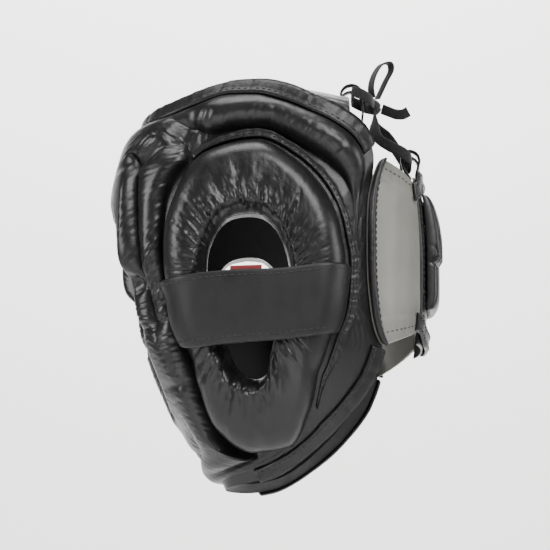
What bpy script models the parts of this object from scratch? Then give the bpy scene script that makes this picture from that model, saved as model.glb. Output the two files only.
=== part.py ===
"""Full face boxing head guard, as worn: face towards -Y, wearer's left at +X, crown near Z = 0.

Every piece lies on one head-shaped form. A place on the form is given by its turn, the plan angle in
degrees from the middle of the face round the wearer's left side to the back, and its drop, the distance
below the crown as a share of the guard's height.
"""

import math
from collections import namedtuple

import bpy
import numpy as np

# Overall sizes in metres
GUARD_DEPTH = 0.240
GUARD_HEIGHT = 0.290
HALF_BREADTH = 0.088
EAR_AXIS = 0.020
REAR_SQUARENESS = 2.1

# Padding and leather
WALL = 0.012
ROLL_RISE = 0.0165
SEAM_EASE = 0.015
LAND_WIDTH = 0.011
LEATHER = 0.0022
SEAT_GAP = 0.0006

# Ear pad, seen from the side
PAD_HEIGHT = 0.218
PAD_DEPTH_SHARE = -0.083
PAD_DROP = 0.545
PAD_THICKNESS = 0.021
PAD_EDGE = 0.019
PAD_GAP = 0.0012
HOLE_EASE = 0.006
PINCH_AT_STRAP = 0.12

# Band over the ear pad
STRAP_TOP_DROP = 0.500
STRAP_BOTTOM_DROP = 0.660
STRAP_LEAN = 0.020
STRAP_GAP = 0.0012

# Stitched flange behind the ear pad
FLANGE_WIDTH = 0.0065
FLANGE_THICKNESS = 0.0022
FLANGE_GAP = 0.0038
FLANGE_LIFT = 0.0010
FLANGE_FIRST_CLOCK = -25.0
FLANGE_LAST_CLOCK = 152.0

# Bindings on the crown and neck edges
BINDING_OVERHANG = 0.0015
BINDING_THICKNESS = 0.0026

# Rear wings and back panel
WING_LIFT = 0.0008
WING_TOP_LIFT = 0.0034
WING_EASE_DROP = 0.11
WING_EASE_TURN = 18.0
WING_THICKNESS = 0.0026
WING_BEAD = 0.0034
WING_FRONT_TURN = 115.5
WING_CORNER_TURN = 13.0
WING_REAR_TURN = 154.0
WING_TOP_DROP = 0.195
WING_TOP_REAR_DROP = 0.240
WING_BOTTOM_DROP = 0.665
WING_BOTTOM_REAR_DROP = 0.612
PANEL_HALF_TURN = 22.0
PANEL_TOP_DROP = 0.212
PANEL_BOTTOM_DROP = 0.640
BACK_STRAP_HALF_TURN = 32.0
BACK_STRAP_HEIGHT = 0.013
BACK_STRAP_CREST_TURN = 12.0
TAB_HALF_TURN = 14.0
TAB_TOP_DROP = 0.250
TAB_SEAM_DROP = 0.425
TAB_BOTTOM_DROP = 0.545
TAB_BULGE = 0.0085
TAB_FLAT = 0.0060
TAB_GATHERS = 5

# Loops and lace at the back of the crown
LOOP_WIDTH = 0.008
LOOP_THICKNESS = 0.0018
LOOP_SPREAD = 0.011
LACE_WIDTH = 0.0080
LACE_THICKNESS = 0.0016
KNOT_RADIUS = 0.0065
KNOT_STRETCH = 1.3
KNOT_PLACE = (0.0, 0.066, -0.002)

# Crown flap
FLAP_FRONT_INSET = 0.0015
FLAP_REAR = 0.047
FLAP_SEAT = 0.0012
FLAP_CROWN = 0.0035
FLAP_REAR_FALL = 0.0060
FLAP_FRONT_FALL = 0.0100
FLAP_CLIMB = 0.060

# Small red label inside the left ear opening
LABEL_LENGTH = 0.021
LABEL_HEIGHT = 0.007
LABEL_THICKNESS = 0.0012
LABEL_TUCK = 0.004
LABEL_FORWARD = 0.0065

Section = namedtuple("Section", "drop front back half_breadth squareness")
SECTIONS = (
    Section(-0.05, -0.190, 0.110, 0.38, 2.1),
    Section(-0.02, -0.270, 0.170, 0.54, 2.2),
    Section(0.01, -0.330, 0.225, 0.69, 2.3),
    Section(0.07, -0.395, 0.318, 0.83, 2.6),
    Section(0.17, -0.440, 0.392, 0.93, 3.1),
    Section(0.29, -0.463, 0.418, 0.98, 3.6),
    Section(0.41, -0.455, 0.426, 1.00, 3.8),
    Section(0.53, -0.405, 0.426, 1.00, 3.6),
    Section(0.64, -0.375, 0.414, 0.965, 3.2),
    Section(0.74, -0.330, 0.380, 0.88, 2.7),
    Section(0.84, -0.265, 0.330, 0.73, 2.4),
    Section(0.93, -0.200, 0.250, 0.53, 2.2),
    Section(1.03, -0.145, 0.150, 0.31, 2.1),
)

Station = namedtuple(
    "Station",
    "face_turn face_drop temple_turn temple_drop temple_seam pad_turn pad_drop pad_seam "
    "side_turn side_drop side_seam rim_turn rim_drop",
)
STATIONS = (
    Station(0, 0.325, 0, 0.235, 0.0, 0, 0.180, 0.0, 0, 0.128, 0.0, 0, 0.078),
    Station(7, 0.325, 8, 0.225, 0.0, 9, 0.170, 0.0, 9, 0.122, 0.0, 9, 0.077),
    Station(13, 0.330, 15, 0.200, 0.0, 18, 0.150, 0.0, 18, 0.115, 0.0, 18, 0.072),
    Station(17, 0.345, 20, 0.180, 0.1, 29, 0.145, 0.0, 29, 0.110, 0.0, 27, 0.064),
    Station(19, 0.365, 22.5, 0.190, 0.4, 38, 0.165, 0.7, 38, 0.122, 0.5, 37, 0.044),
    Station(20, 0.390, 24.5, 0.240, 0.8, 40, 0.205, 1.0, 46, 0.136, 1.0, 49, 0.028),
    Station(20, 0.420, 25.5, 0.300, 1.0, 37, 0.245, 1.0, 56, 0.126, 1.0, 62, 0.030),
    Station(19.5, 0.450, 26, 0.360, 1.0, 35, 0.305, 1.0, 67, 0.128, 1.0, 76, 0.044),
    Station(18.5, 0.480, 26.5, 0.430, 1.0, 34.5, 0.370, 1.0, 77, 0.152, 1.0, 90, 0.068),
    Station(17.5, 0.510, 25.5, 0.490, 1.0, 34, 0.435, 1.0, 88, 0.184, 1.0, 103, 0.098),
    Station(16.5, 0.540, 26, 0.540, 0.9, 33.5, 0.500, 1.0, 98, 0.220, 1.0, 114, 0.138),
    Station(16, 0.570, 27, 0.585, 0.6, 33, 0.560, 1.0, 106, 0.268, 0.9, 121, 0.204),
    Station(15.5, 0.600, 28, 0.620, 0.2, 34, 0.610, 1.0, 109, 0.330, 0.1, 119, 0.310),
    Station(15, 0.630, 28, 0.655, 0.0, 34.5, 0.655, 1.0, 109, 0.450, 0.0, 118, 0.440),
    Station(14.5, 0.660, 27.5, 0.690, 0.0, 35, 0.705, 1.0, 109, 0.560, 0.0, 119, 0.560),
    Station(13.5, 0.690, 27, 0.720, 0.0, 35, 0.755, 1.0, 109, 0.640, 0.1, 127, 0.655),
    Station(12, 0.715, 26, 0.750, 0.0, 34.5, 0.805, 1.0, 106, 0.715, 0.3, 124, 0.735),
    Station(10.5, 0.735, 24, 0.785, 0.0, 34, 0.855, 1.0, 102, 0.775, 0.8, 113, 0.822),
    Station(8.5, 0.750, 21.5, 0.820, 0.1, 37, 0.900, 1.0, 90, 0.860, 1.0, 98, 0.888),
    Station(6, 0.760, 18, 0.855, 0.4, 45, 0.925, 1.0, 72, 0.905, 1.0, 76, 0.940),
    Station(4, 0.765, 14, 0.880, 0.7, 36, 0.935, 0.8, 48, 0.938, 0.5, 50, 0.972),
    Station(2, 0.768, 7, 0.890, 0.8, 18, 0.945, 0.3, 24, 0.955, 0.1, 24, 0.985),
    Station(0, 0.770, 0, 0.892, 0.8, 0, 0.945, 0.0, 0, 0.965, 0.0, 0, 0.988),
)

Rise = namedtuple("Rise", "station face temple floor side rim")
RISES = (
    Rise(0, 1.00, 1.00, 1.00, 0.90, 0.35),
    Rise(3, 1.05, 1.00, 0.95, 0.90, 0.50),
    Rise(5, 1.05, 0.80, 0.00, 1.00, 0.65),
    Rise(8, 1.10, 0.60, 0.00, 1.10, 0.75),
    Rise(10, 1.05, 0.60, 0.00, 1.05, 0.60),
    Rise(11, 0.98, 0.65, 0.00, 0.65, 0.16),
    Rise(11.6, 0.95, 0.70, 0.00, 0.25, 0.02),
    Rise(13, 0.90, 0.85, 0.00, 0.00, 0.00),
    Rise(15, 0.85, 0.95, 0.00, 0.00, 0.00),
    Rise(18, 0.80, 1.05, 0.00, 0.00, 0.00),
    Rise(20, 0.70, 0.90, 0.15, 0.15, 0.10),
    Rise(22, 0.70, 0.80, 0.80, 0.70, 0.20),
)

Dent = namedtuple("Dent", "turn drop long wide lean depth")
DENTS = (
    Dent(37, 0.150, 0.055, 0.022, 20, 0.70),
    Dent(30, 0.190, 0.050, 0.016, 55, 0.30),
    Dent(25, 0.205, 0.045, 0.014, 80, 0.25),
    Dent(27, 0.600, 0.060, 0.014, 90, 0.20),
    Dent(31, 0.735, 0.050, 0.014, 85, 0.12),
)

Clock = namedtuple("Clock", "angle outer hole")
PAD_CLOCK = (
    Clock(0, 0.507, 0.262),
    Clock(15, 0.464, 0.228),
    Clock(30, 0.415, 0.180),
    Clock(45, 0.364, 0.146),
    Clock(60, 0.321, 0.124),
    Clock(90, 0.280, 0.101),
    Clock(115, 0.276, 0.106),
    Clock(140, 0.318, 0.115),
    Clock(155, 0.410, 0.142),
    Clock(167, 0.486, 0.200),
    Clock(173, 0.489, 0.262),
    Clock(180, 0.488, 0.276),
    Clock(192, 0.440, 0.258),
    Clock(210, 0.332, 0.196),
    Clock(232, 0.262, 0.172),
    Clock(264, 0.261, 0.161),
    Clock(292, 0.314, 0.178),
    Clock(318, 0.405, 0.226),
    Clock(342, 0.497, 0.268),
)

Route = namedtuple("Route", "across depth height wide_across wide_depth wide_height")
CROWN_LOOP = (
    Route(0, 0.0430, 0.0022, 1, 0, 0),
    Route(0, 0.0415, 0.0060, 1, 0, 0),
    Route(0, 0.0445, 0.0105, 1, 0, 0),
    Route(0, 0.0500, 0.0120, 1, 0, 0),
    Route(0, 0.0555, 0.0090, 1, 0, 0),
    Route(0, 0.0580, 0.0010, 1, 0, 0),
    Route(0, 0.0575, -0.0095, 1, 0, 0),
)
BACK_LOOP = (
    Route(0, 0.0976, -0.0605, 1, 0, 0),
    Route(0, 0.0965, -0.0560, 1, 0, 0),
    Route(0, 0.0978, -0.0505, 1, 0, 0),
    Route(0, 0.0990, -0.0450, 1, 0, 0),
    Route(0, 0.0970, -0.0400, 1, 0, 0),
    Route(0, 0.0920, -0.0378, 1, 0, 0),
    Route(0, 0.0872, -0.0398, 1, 0, 0),
    Route(0, 0.0860, -0.0450, 1, 0, 0),
    Route(0, 0.0880, -0.0520, 1, 0, 0),
    Route(0, 0.0925, -0.0590, 1, 0, 0),
)
LACE_TOP = (
    Route(0.0040, 0.0500, 0.0066, 0, 0, 1),
    Route(0.0110, 0.0500, 0.0066, 0, 0, 1),
    Route(0.0166, 0.0508, 0.0063, 0, 0, 1),
    Route(0.0182, 0.0570, 0.0035, 0, 0, 1),
    Route(0.0150, 0.0630, 0.0005, 0, 0, 1),
    Route(0.0079, 0.0657, -0.0010, 0, 0, 1),
)
LACE_LEFT = (
    Route(0.0051, 0.0662, -0.0080, 0.8, 0, 0.6),
    Route(0.0095, 0.0658, -0.0138, 0.8, 0.4, 0.4),
    Route(0.0140, 0.0660, -0.0215, 0.6, 1, 0),
    Route(0.0165, 0.0690, -0.0295, 0.6, 0.8, 0.5),
    Route(0.0185, 0.0770, -0.0355, 0.3, 0.3, 1),
    Route(0.0190, 0.0860, -0.0400, 0, 0.2, 1),
    Route(0.0168, 0.0915, -0.0441, 0, 0, 1),
    Route(0.0110, 0.0930, -0.0441, 0, 0, 1),
    Route(0.0035, 0.0930, -0.0441, 0, 0, 1),
)
LACE_RIGHT = (
    Route(-0.0051, 0.0662, -0.0080, 0.8, 0, -0.6),
    Route(-0.0095, 0.0700, -0.0142, 0.8, 0.4, -0.2),
    Route(-0.0145, 0.0770, -0.0220, 0.6, 0.8, 0.5),
    Route(-0.0185, 0.0850, -0.0335, 0.2, 0.5, 1),
    Route(-0.0168, 0.0912, -0.0441, 0, 0, 1),
    Route(-0.0110, 0.0930, -0.0441, 0, 0, 1),
    Route(-0.0035, 0.0930, -0.0441, 0, 0, 1),
)
LACE_BOW = (
    Route(0.0020, 0.0650, 0.0050, 1, 0.6, 0),
    Route(0.0040, 0.0640, 0.0130, 1, 0.6, 0),
    Route(0.0045, 0.0665, 0.0220, 1, 0.6, 0),
    Route(0.0035, 0.0715, 0.0295, 1, 0.6, 0),
    Route(0.0015, 0.0775, 0.0310, 1, 0.6, 0),
    Route(-0.0005, 0.0785, 0.0260, 1, 0.6, 0),
    Route(-0.0020, 0.0745, 0.0180, 1, 0.6, 0),
    Route(-0.0025, 0.0710, 0.0105, 1, 0.6, 0),
    Route(-0.0020, 0.0685, 0.0050, 1, 0.6, 0),
)
LACE_END = (
    Route(0.0010, 0.0719, -0.0035, 0.6, 0, 1),
    Route(0.0020, 0.0775, -0.0060, 0.6, 0, 1),
    Route(0.0035, 0.0820, -0.0080, 0.6, 0, 1),
    Route(0.0050, 0.0870, -0.0085, 0.6, 0, 1),
    Route(0.0060, 0.0915, -0.0065, 0.6, 0, 1),
)


def clear_scene():
    """Remove every object, so that the model starts from an empty scene."""
    for item in list(bpy.data.objects):
        bpy.data.objects.remove(item, do_unlink=True)


def smooth_through(x, knots, values):
    """Curve through the knots that never overshoots them, worked out at x."""
    knots = np.asarray(knots, float)
    values = np.asarray(values, float)
    step = np.diff(knots)
    slope = np.diff(values) / step
    tangent = np.empty_like(values)
    tangent[0] = slope[0]
    tangent[-1] = slope[-1]
    same = slope[:-1] * slope[1:] > 0
    total = slope[:-1] + slope[1:]
    tangent[1:-1] = np.where(same, 2 * slope[:-1] * slope[1:] / np.where(same, total, 1), 0)
    k = np.clip(np.searchsorted(knots, x, side="right") - 1, 0, len(knots) - 2)
    t = (x - knots[k]) / step[k]
    start = (1 + 2 * t) * (1 - t) ** 2 * values[k] + t * (1 - t) ** 2 * step[k] * tangent[k]
    end = t * t * (3 - 2 * t) * values[k + 1] + t * t * (t - 1) * step[k] * tangent[k + 1]
    return start + end


def section_at(drop):
    """Front, back and half breadth in metres, and squareness, of the form at a drop."""
    drops = [row.drop for row in SECTIONS]
    drop = np.asarray(drop, float)
    front = smooth_through(drop, drops, [row.front for row in SECTIONS]) * GUARD_DEPTH
    back = smooth_through(drop, drops, [row.back for row in SECTIONS]) * GUARD_DEPTH
    half = smooth_through(drop, drops, [row.half_breadth for row in SECTIONS]) * HALF_BREADTH
    square = smooth_through(drop, drops, [row.squareness for row in SECTIONS])
    return front, back, half, square


def form_point(turn, drop):
    """Point of the form: a superellipse in plan, squarer in front than behind."""
    turn, drop = np.broadcast_arrays(np.radians(turn), np.asarray(drop, float))
    front, back, half, square = section_at(drop)
    ahead = np.cos(turn)
    aside = np.sin(turn)
    reach = np.where(ahead > 0, EAR_AXIS - front, back - EAR_AXIS)
    power = np.where(ahead > 0, square, REAR_SQUARENESS)
    radius = ((np.abs(aside) / half) ** power + (np.abs(ahead) / reach) ** power) ** (-1 / power)
    return np.stack([radius * aside, EAR_AXIS - radius * ahead, -drop * GUARD_HEIGHT], axis=-1)


def form_normal(turn, drop):
    """Outward normal of the form, from the slopes along turn and drop."""
    turn, drop = np.broadcast_arrays(np.asarray(turn, float), np.asarray(drop, float))
    small_turn = 0.5
    small_drop = 0.002
    along = form_point(turn + small_turn, drop) - form_point(turn - small_turn, drop)
    down = form_point(turn, drop + small_drop) - form_point(turn, drop - small_drop)
    normal = np.cross(down, along)
    return normal / np.linalg.norm(normal, axis=-1, keepdims=True)


def lifted(turn, drop, height):
    """Point at a height above the form."""
    height = np.asarray(height, float)[..., None]
    return form_point(turn, drop) + form_normal(turn, drop) * height


def turn_beside(depth, drop):
    """Turn of the point on the left side of the form at a depth along Y."""
    front, back, half, square = section_at(drop)
    depth = np.asarray(depth, float)
    reach = np.where(depth < EAR_AXIS, EAR_AXIS - front, back - EAR_AXIS)
    power = np.where(depth < EAR_AXIS, square, REAR_SQUARENESS)
    share = np.clip(np.abs(depth - EAR_AXIS) / reach, 0, 0.999)
    aside = half * (1 - share ** power) ** (1 / power)
    return np.degrees(np.arctan2(aside, EAR_AXIS - depth))


def puff(share):
    """Quarter round of a padded edge: 0 at the seam, 1 from the share 1 on."""
    share = np.clip(share, 0, 1)
    return np.sqrt(1 - (1 - share) ** 2)


def wave(share):
    """Even step from 0 to 1."""
    share = np.clip(share, 0, 1)
    return share * share * (3 - 2 * share)


def mirrored(points):
    """The same points on the wearer's right side."""
    return points * np.array([-1.0, 1.0, 1.0])


def enclosed_volume(verts, faces):
    """Signed volume inside a closed mesh, positive when its faces point outwards."""
    total = 0.0
    for face in faces:
        ring = verts[list(face)]
        total += float(np.sum(np.cross(ring[1:-1], ring[2:]) @ ring[0]))
    return total


def add_piece(name, loops, material, closed=False):
    """Skin a row of closed loops into one solid, with end caps unless the row is closed too."""
    rows, count = loops.shape[:2]
    verts = loops.reshape(-1, 3)
    ahead = np.arange(rows if closed else rows - 1)
    here, side = np.meshgrid(ahead, np.arange(count), indexing="ij")
    there = (here + 1) % rows
    other = (side + 1) % count
    quads = np.stack([here * count + side, here * count + other, there * count + other, there * count + side], axis=-1)
    faces = [tuple(int(v) for v in quad) for quad in quads.reshape(-1, 4)]
    if not closed:
        faces.append(tuple(range(count - 1, -1, -1)))
        faces.append(tuple(range((rows - 1) * count, rows * count)))
    if enclosed_volume(verts, faces) < 0:
        faces = [face[::-1] for face in faces]
    mesh = bpy.data.meshes.new(name)
    mesh.from_pydata([tuple(float(c) for c in v) for v in verts], [], faces)
    mesh.validate()
    mesh.materials.append(material)
    mesh.shade_smooth()
    mesh.set_sharp_from_angle(angle=math.radians(40))
    piece = bpy.data.objects.new(name, mesh)
    bpy.context.scene.collection.objects.link(piece)
    return piece


def add_pair(name, loops, material, closed=False):
    """The piece on the left side and its mirror image on the right."""
    add_piece(name + "_left", loops, material, closed)
    add_piece(name + "_right", mirrored(loops), material, closed)


def make_material(name, colour, roughness, metallic=0.0):
    """Principled material of one colour."""
    material = bpy.data.materials.new(name)
    material.use_nodes = True
    shader = material.node_tree.nodes["Principled BSDF"]
    shader.inputs["Base Color"].default_value = (*colour, 1.0)
    shader.inputs["Roughness"].default_value = roughness
    shader.inputs["Metallic"].default_value = metallic
    return material


def station_columns(place):
    """Every column of the station table at places 0 to 22, smooth across the middle of the guard."""
    last = len(STATIONS) - 1
    knots = np.arange(-1, last + 2)
    columns = {}
    for name in Station._fields:
        values = [getattr(row, name) for row in STATIONS]
        sign = -1 if name.endswith("turn") else 1
        values = [sign * values[1]] + values + [sign * values[-2]]
        columns[name] = smooth_through(place, knots, values)
    return columns


def shell_rows(place, counts):
    """Turn, drop and band number along each station, from the face edge to the rim.

    The bands are the face roll, the temple lobe, the floor under the ear pad, the side roll and the
    flat land that the binding covers.
    """
    columns = station_columns(place)
    turns = [columns[key + "_turn"] for key in ("face", "temple", "pad", "side", "rim")]
    drops = [columns[key + "_drop"] for key in ("face", "temple", "pad", "side", "rim")]
    last_run = np.linalg.norm(form_point(turns[4], drops[4]) - form_point(turns[3], drops[3]), axis=-1)
    share = np.clip(LAND_WIDTH / np.maximum(last_run, LAND_WIDTH), 0, 0.8)
    turns.insert(4, turns[4] + (turns[3] - turns[4]) * share)
    drops.insert(4, drops[4] + (drops[3] - drops[4]) * share)
    turn_parts, drop_parts, band_parts = [], [], []
    for band, count in enumerate(counts):
        steps = np.linspace(0, 1, count, endpoint=False)
        steps = 0.5 * steps + 0.5 * wave(steps)
        turn_parts.append(turns[band][:, None] + (turns[band + 1] - turns[band])[:, None] * steps)
        drop_parts.append(drops[band][:, None] + (drops[band + 1] - drops[band])[:, None] * steps)
        band_parts.append(band + steps)
    turn_parts.append(turns[-1][:, None])
    drop_parts.append(drops[-1][:, None])
    band_parts.append(np.array([len(counts)], float))
    return np.hstack(turn_parts), np.hstack(drop_parts), np.concatenate(band_parts), columns


def rise_levels(place):
    """Rise of each band, and of the rim, at places 0 to 22 along the stations."""
    knots = [row.station for row in RISES]
    return [smooth_through(place, knots, [getattr(row, key) for row in RISES]) for key in Rise._fields[1:]]


def away_from(along, band, number):
    """Distance along each row from the seam where a band starts."""
    at = int(np.argmin(np.abs(band - number)))
    return np.abs(along - along[:, at : at + 1])


def shell_height(place, turn, drop, band, columns):
    """Height of the padding above the form: rises between seams, less the pinched folds."""
    points = form_point(turn, drop)
    run = np.linalg.norm(np.diff(points, axis=1), axis=-1)
    along = np.hstack([np.zeros((len(place), 1)), np.cumsum(run, axis=1)])
    levels = rise_levels(place)
    seams = [columns["temple_seam"], columns["pad_seam"], columns["side_seam"]]
    rise = levels[0][:, None] + np.zeros_like(turn)
    for number, strength in enumerate(seams, start=1):
        blend = (0.5 - 0.49 * strength)[:, None]
        step = wave((band[None, :] - number) / (2 * blend) + 0.5)
        rise = rise + (levels[number] - levels[number - 1])[:, None] * step
    for number, strength in enumerate([np.ones_like(place)] + seams):
        rise = rise * (1 - strength[:, None] * (1 - puff(away_from(along, band, number) / SEAM_EASE)))
    rim = levels[4][:, None]
    rise = rim + (rise - rim) * puff(away_from(along, band, 4) / SEAM_EASE)
    rise[:, band > 4] = np.broadcast_to(rim, rise.shape)[:, band > 4]
    for dent in DENTS:
        middle = form_point(dent.turn, dent.drop)
        outward = form_normal(dent.turn, dent.drop)
        upward = np.array([0.0, 0.0, 1.0]) - outward * outward[2]
        upward = upward / np.linalg.norm(upward)
        forward = np.cross(outward, upward)
        lean = math.radians(dent.lean)
        axis = upward * math.cos(lean) - forward * math.sin(lean)
        cross = upward * math.sin(lean) + forward * math.cos(lean)
        offset = points - middle
        far = (offset @ axis / (dent.long * GUARD_HEIGHT)) ** 2 + (offset @ cross / (dent.wide * GUARD_HEIGHT)) ** 2
        rise = rise * (1 - dent.depth * np.exp(-far))
    return rise * ROLL_RISE


def shell_loops(station_steps, outer_counts, inner_counts):
    """Loops of the padded shell on the left half: out along the padding, back along the lining."""
    last = len(STATIONS) - 1
    place = np.linspace(0, last, last * station_steps + 1)
    turn, drop, band, columns = shell_rows(place, outer_counts)
    outer = lifted(turn, drop, shell_height(place, turn, drop, band, columns))
    turn_in, drop_in, band_in, columns = shell_rows(place, inner_counts)
    flare = rise_levels(place)[4][:, None] * wave((band_in[None, :] - 3) / 1.5) * ROLL_RISE
    inner = lifted(turn_in, drop_in, flare - WALL)
    return np.concatenate([outer, inner[:, ::-1]], axis=1)


def both_halves(loops):
    """Closed ring of loops from the loops of the left half."""
    right = mirrored(loops[-2:0:-1])
    return np.concatenate([loops, right], axis=0)


def pad_radii(clock):
    """Outer and hole radius of the ear pad at clock angles in degrees, 0 up and 90 backwards."""
    angles = [row.angle for row in PAD_CLOCK]
    knots = np.array([angles[-1] - 360] + angles + [360, 360 + angles[1]])
    outer = [row.outer for row in PAD_CLOCK]
    hole = [row.hole for row in PAD_CLOCK]
    outer = np.array([outer[-1]] + outer + outer[:2]) * PAD_HEIGHT
    hole = np.array([hole[-1]] + hole + hole[:2]) * PAD_HEIGHT
    clock = np.mod(clock, 360)
    return smooth_through(clock, knots, outer), smooth_through(clock, knots, hole)


def pad_place(clock, radius):
    """Turn and drop of a point at a clock angle and radius about the middle of the ear pad."""
    angle = np.radians(clock)
    depth = PAD_DEPTH_SHARE * GUARD_DEPTH + radius * np.sin(angle)
    drop = PAD_DROP - radius * np.cos(angle) / GUARD_HEIGHT
    return turn_beside(depth, drop), drop


def strap_drops(depth):
    """Drop of the top and bottom edges of the band over the ear pad at a depth along Y."""
    lean = STRAP_LEAN * wave((depth / GUARD_DEPTH + 0.05) / 0.25)
    return STRAP_TOP_DROP - lean, STRAP_BOTTOM_DROP - lean * 0.8


def pad_profile(share, radial):
    """Height of the ear pad at a share of the way from its hole to its outer edge."""
    out_edge = (1 - share) * radial
    in_edge = share * radial
    return PAD_THICKNESS * puff(out_edge / PAD_EDGE) * puff(in_edge / HOLE_EASE)


def pad_loops(around, top_steps, bottom_steps):
    """Loops of the ear pad: up from the hole, over the top, down the outer edge and back below."""
    clock = np.linspace(0, 360, around, endpoint=False)
    outer, hole = pad_radii(clock)
    swing = np.linspace(0, math.pi, top_steps)
    share_top = 0.5 - 0.5 * np.cos(swing)
    share_bottom = np.linspace(1, 0, bottom_steps + 2)[1:-1]
    share = np.concatenate([share_top, share_bottom])
    radial = (outer - hole)[:, None]
    radius = hole[:, None] + radial * share
    turn, drop = pad_place(clock[:, None], radius)
    height = pad_profile(share_top, radial)
    depth = PAD_DEPTH_SHARE * GUARD_DEPTH + radius[:, :top_steps] * np.sin(np.radians(clock))[:, None]
    top, bottom = strap_drops(depth)
    middle = (top + bottom) / 2
    near = np.exp(-(((drop[:, :top_steps] - middle) / (bottom - top)) ** 2) * 4)
    height = height * (1 - PINCH_AT_STRAP * near)
    under = np.zeros((around, bottom_steps))
    return lifted(turn, drop, np.hstack([height, under]) + PAD_GAP)


def flange_loops(steps):
    """Loops of the stitched flange that follows the rear edge of the ear pad."""
    clock = np.linspace(FLANGE_FIRST_CLOCK, FLANGE_LAST_CLOCK, steps)
    outer, hole = pad_radii(clock)
    taper = np.sqrt(np.clip(np.minimum(np.arange(steps), np.arange(steps)[::-1]) / 3 + 0.15, 0, 1))
    shares = np.array([0, 0.5, 1, 1, 0.5, 0])
    heights = np.array([1, 1.1, 1, 0, 0, 0]) * FLANGE_THICKNESS + FLANGE_LIFT
    radius = (outer + FLANGE_GAP)[:, None] + FLANGE_WIDTH * taper[:, None] * shares
    turn, drop = pad_place(clock[:, None], radius)
    return lifted(turn, drop, np.broadcast_to(heights, turn.shape))


def strap_loops(steps):
    """Loops of the band over the ear pad, each a section across its width."""
    height_shares = np.array([0, 0.25, 0.5, 0.75, 1.0])
    middle = (STRAP_TOP_DROP + STRAP_BOTTOM_DROP) / 2
    rows = []
    for share in height_shares:
        drop = STRAP_TOP_DROP + (STRAP_BOTTOM_DROP - STRAP_TOP_DROP) * share
        front_clock = pad_clock_at((PAD_DROP - drop) * GUARD_HEIGHT, 200, 340)
        rear_clock = pad_clock_at((PAD_DROP - drop + STRAP_LEAN * 0.9) * GUARD_HEIGHT, 20, 160)
        outer_front, hole = pad_radii(front_clock)
        outer_rear, hole = pad_radii(rear_clock)
        front = PAD_DEPTH_SHARE * GUARD_DEPTH + outer_front * math.sin(math.radians(front_clock))
        rear = PAD_DEPTH_SHARE * GUARD_DEPTH + outer_rear * math.sin(math.radians(rear_clock))
        rows.append((drop, float(front), float(rear)))
    swing = np.linspace(0, math.pi / 2, steps)
    outer_rows, inner_rows = [], []
    for drop, front, rear in rows:
        lines = []
        for clear, lift in ((STRAP_GAP + LEATHER, PAD_GAP + STRAP_GAP + LEATHER), (STRAP_GAP, PAD_GAP + STRAP_GAP)):
            edge = PAD_EDGE + clear
            climb = np.sin(swing)
            inward = edge * (1 - np.cos(swing)) - clear
            depth_front = front + inward
            depth_rear = (rear - inward)[::-1]
            bridge = np.linspace(depth_front[-1], depth_rear[0], 8)[1:-1]
            depth = np.concatenate([depth_front, bridge, depth_rear])
            high = PAD_THICKNESS + lift
            height = np.concatenate([high * climb, np.full(6, high), high * climb[::-1]])
            height = np.maximum(height, lift)
            top, bottom = strap_drops(depth)
            here = top + (bottom - top) * (drop - STRAP_TOP_DROP) / (STRAP_BOTTOM_DROP - STRAP_TOP_DROP)
            lines.append(lifted(turn_beside(depth, here), here, height))
        outer_rows.append(lines[0])
        inner_rows.append(lines[1])
    loops = outer_rows + inner_rows[::-1]
    return np.stack(loops, axis=1)


def pad_clock_at(rise, first, last):
    """Clock angle between two limits where the pad's edge is at a height above its middle."""
    clock = np.linspace(first, last, 281)
    outer, hole = pad_radii(clock)
    miss = np.abs(outer * np.cos(np.radians(clock)) - rise)
    return float(clock[int(np.argmin(miss))])


def binding_loops(first, last, steps):
    """Loops of a binding strip on the shell's land, between two stations."""
    place = np.linspace(first, last, steps)
    columns = station_columns(place)
    run = form_point(columns["side_turn"], columns["side_drop"]) - form_point(columns["rim_turn"], columns["rim_drop"])
    length = np.linalg.norm(run, axis=-1)
    share = LAND_WIDTH / np.maximum(length, LAND_WIDTH / 0.8)
    over = BINDING_OVERHANG / np.maximum(length, LAND_WIDTH)
    shares = np.array([0.96, 0.5, -1.0, -1.0, 0.5, 0.96])
    rim = rise_levels(place)[4][:, None] * ROLL_RISE
    heights = np.array([1.0, 1.15, 0.9, 0, 0, 0]) * BINDING_THICKNESS + SEAT_GAP + rim
    reach = np.where(shares < 0, over[:, None] * shares, share[:, None] * shares)
    turn = columns["rim_turn"][:, None] + (columns["side_turn"] - columns["rim_turn"])[:, None] * reach
    drop = columns["rim_drop"][:, None] + (columns["side_drop"] - columns["rim_drop"])[:, None] * reach
    return lifted(turn, drop, heights)


def plate_loops(turns, drops, lifts, thickness):
    """Loops of a leather plate given by grids of turn, drop and lift."""
    outer = lifted(turns, drops, lifts + thickness)
    inner = lifted(turns, drops, lifts)
    return np.concatenate([outer, inner[:, ::-1]], axis=1)


def wing_lift(turns, drops):
    """Height of a wing's inner face above the form: it climbs over the padded roll at its top front corner."""
    low = wave((drops - WING_TOP_DROP) / WING_EASE_DROP)
    behind = wave((turns - WING_FRONT_TURN) / WING_EASE_TURN)
    return WING_LIFT + WING_TOP_LIFT * (1 - low) * (1 - behind)


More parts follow.
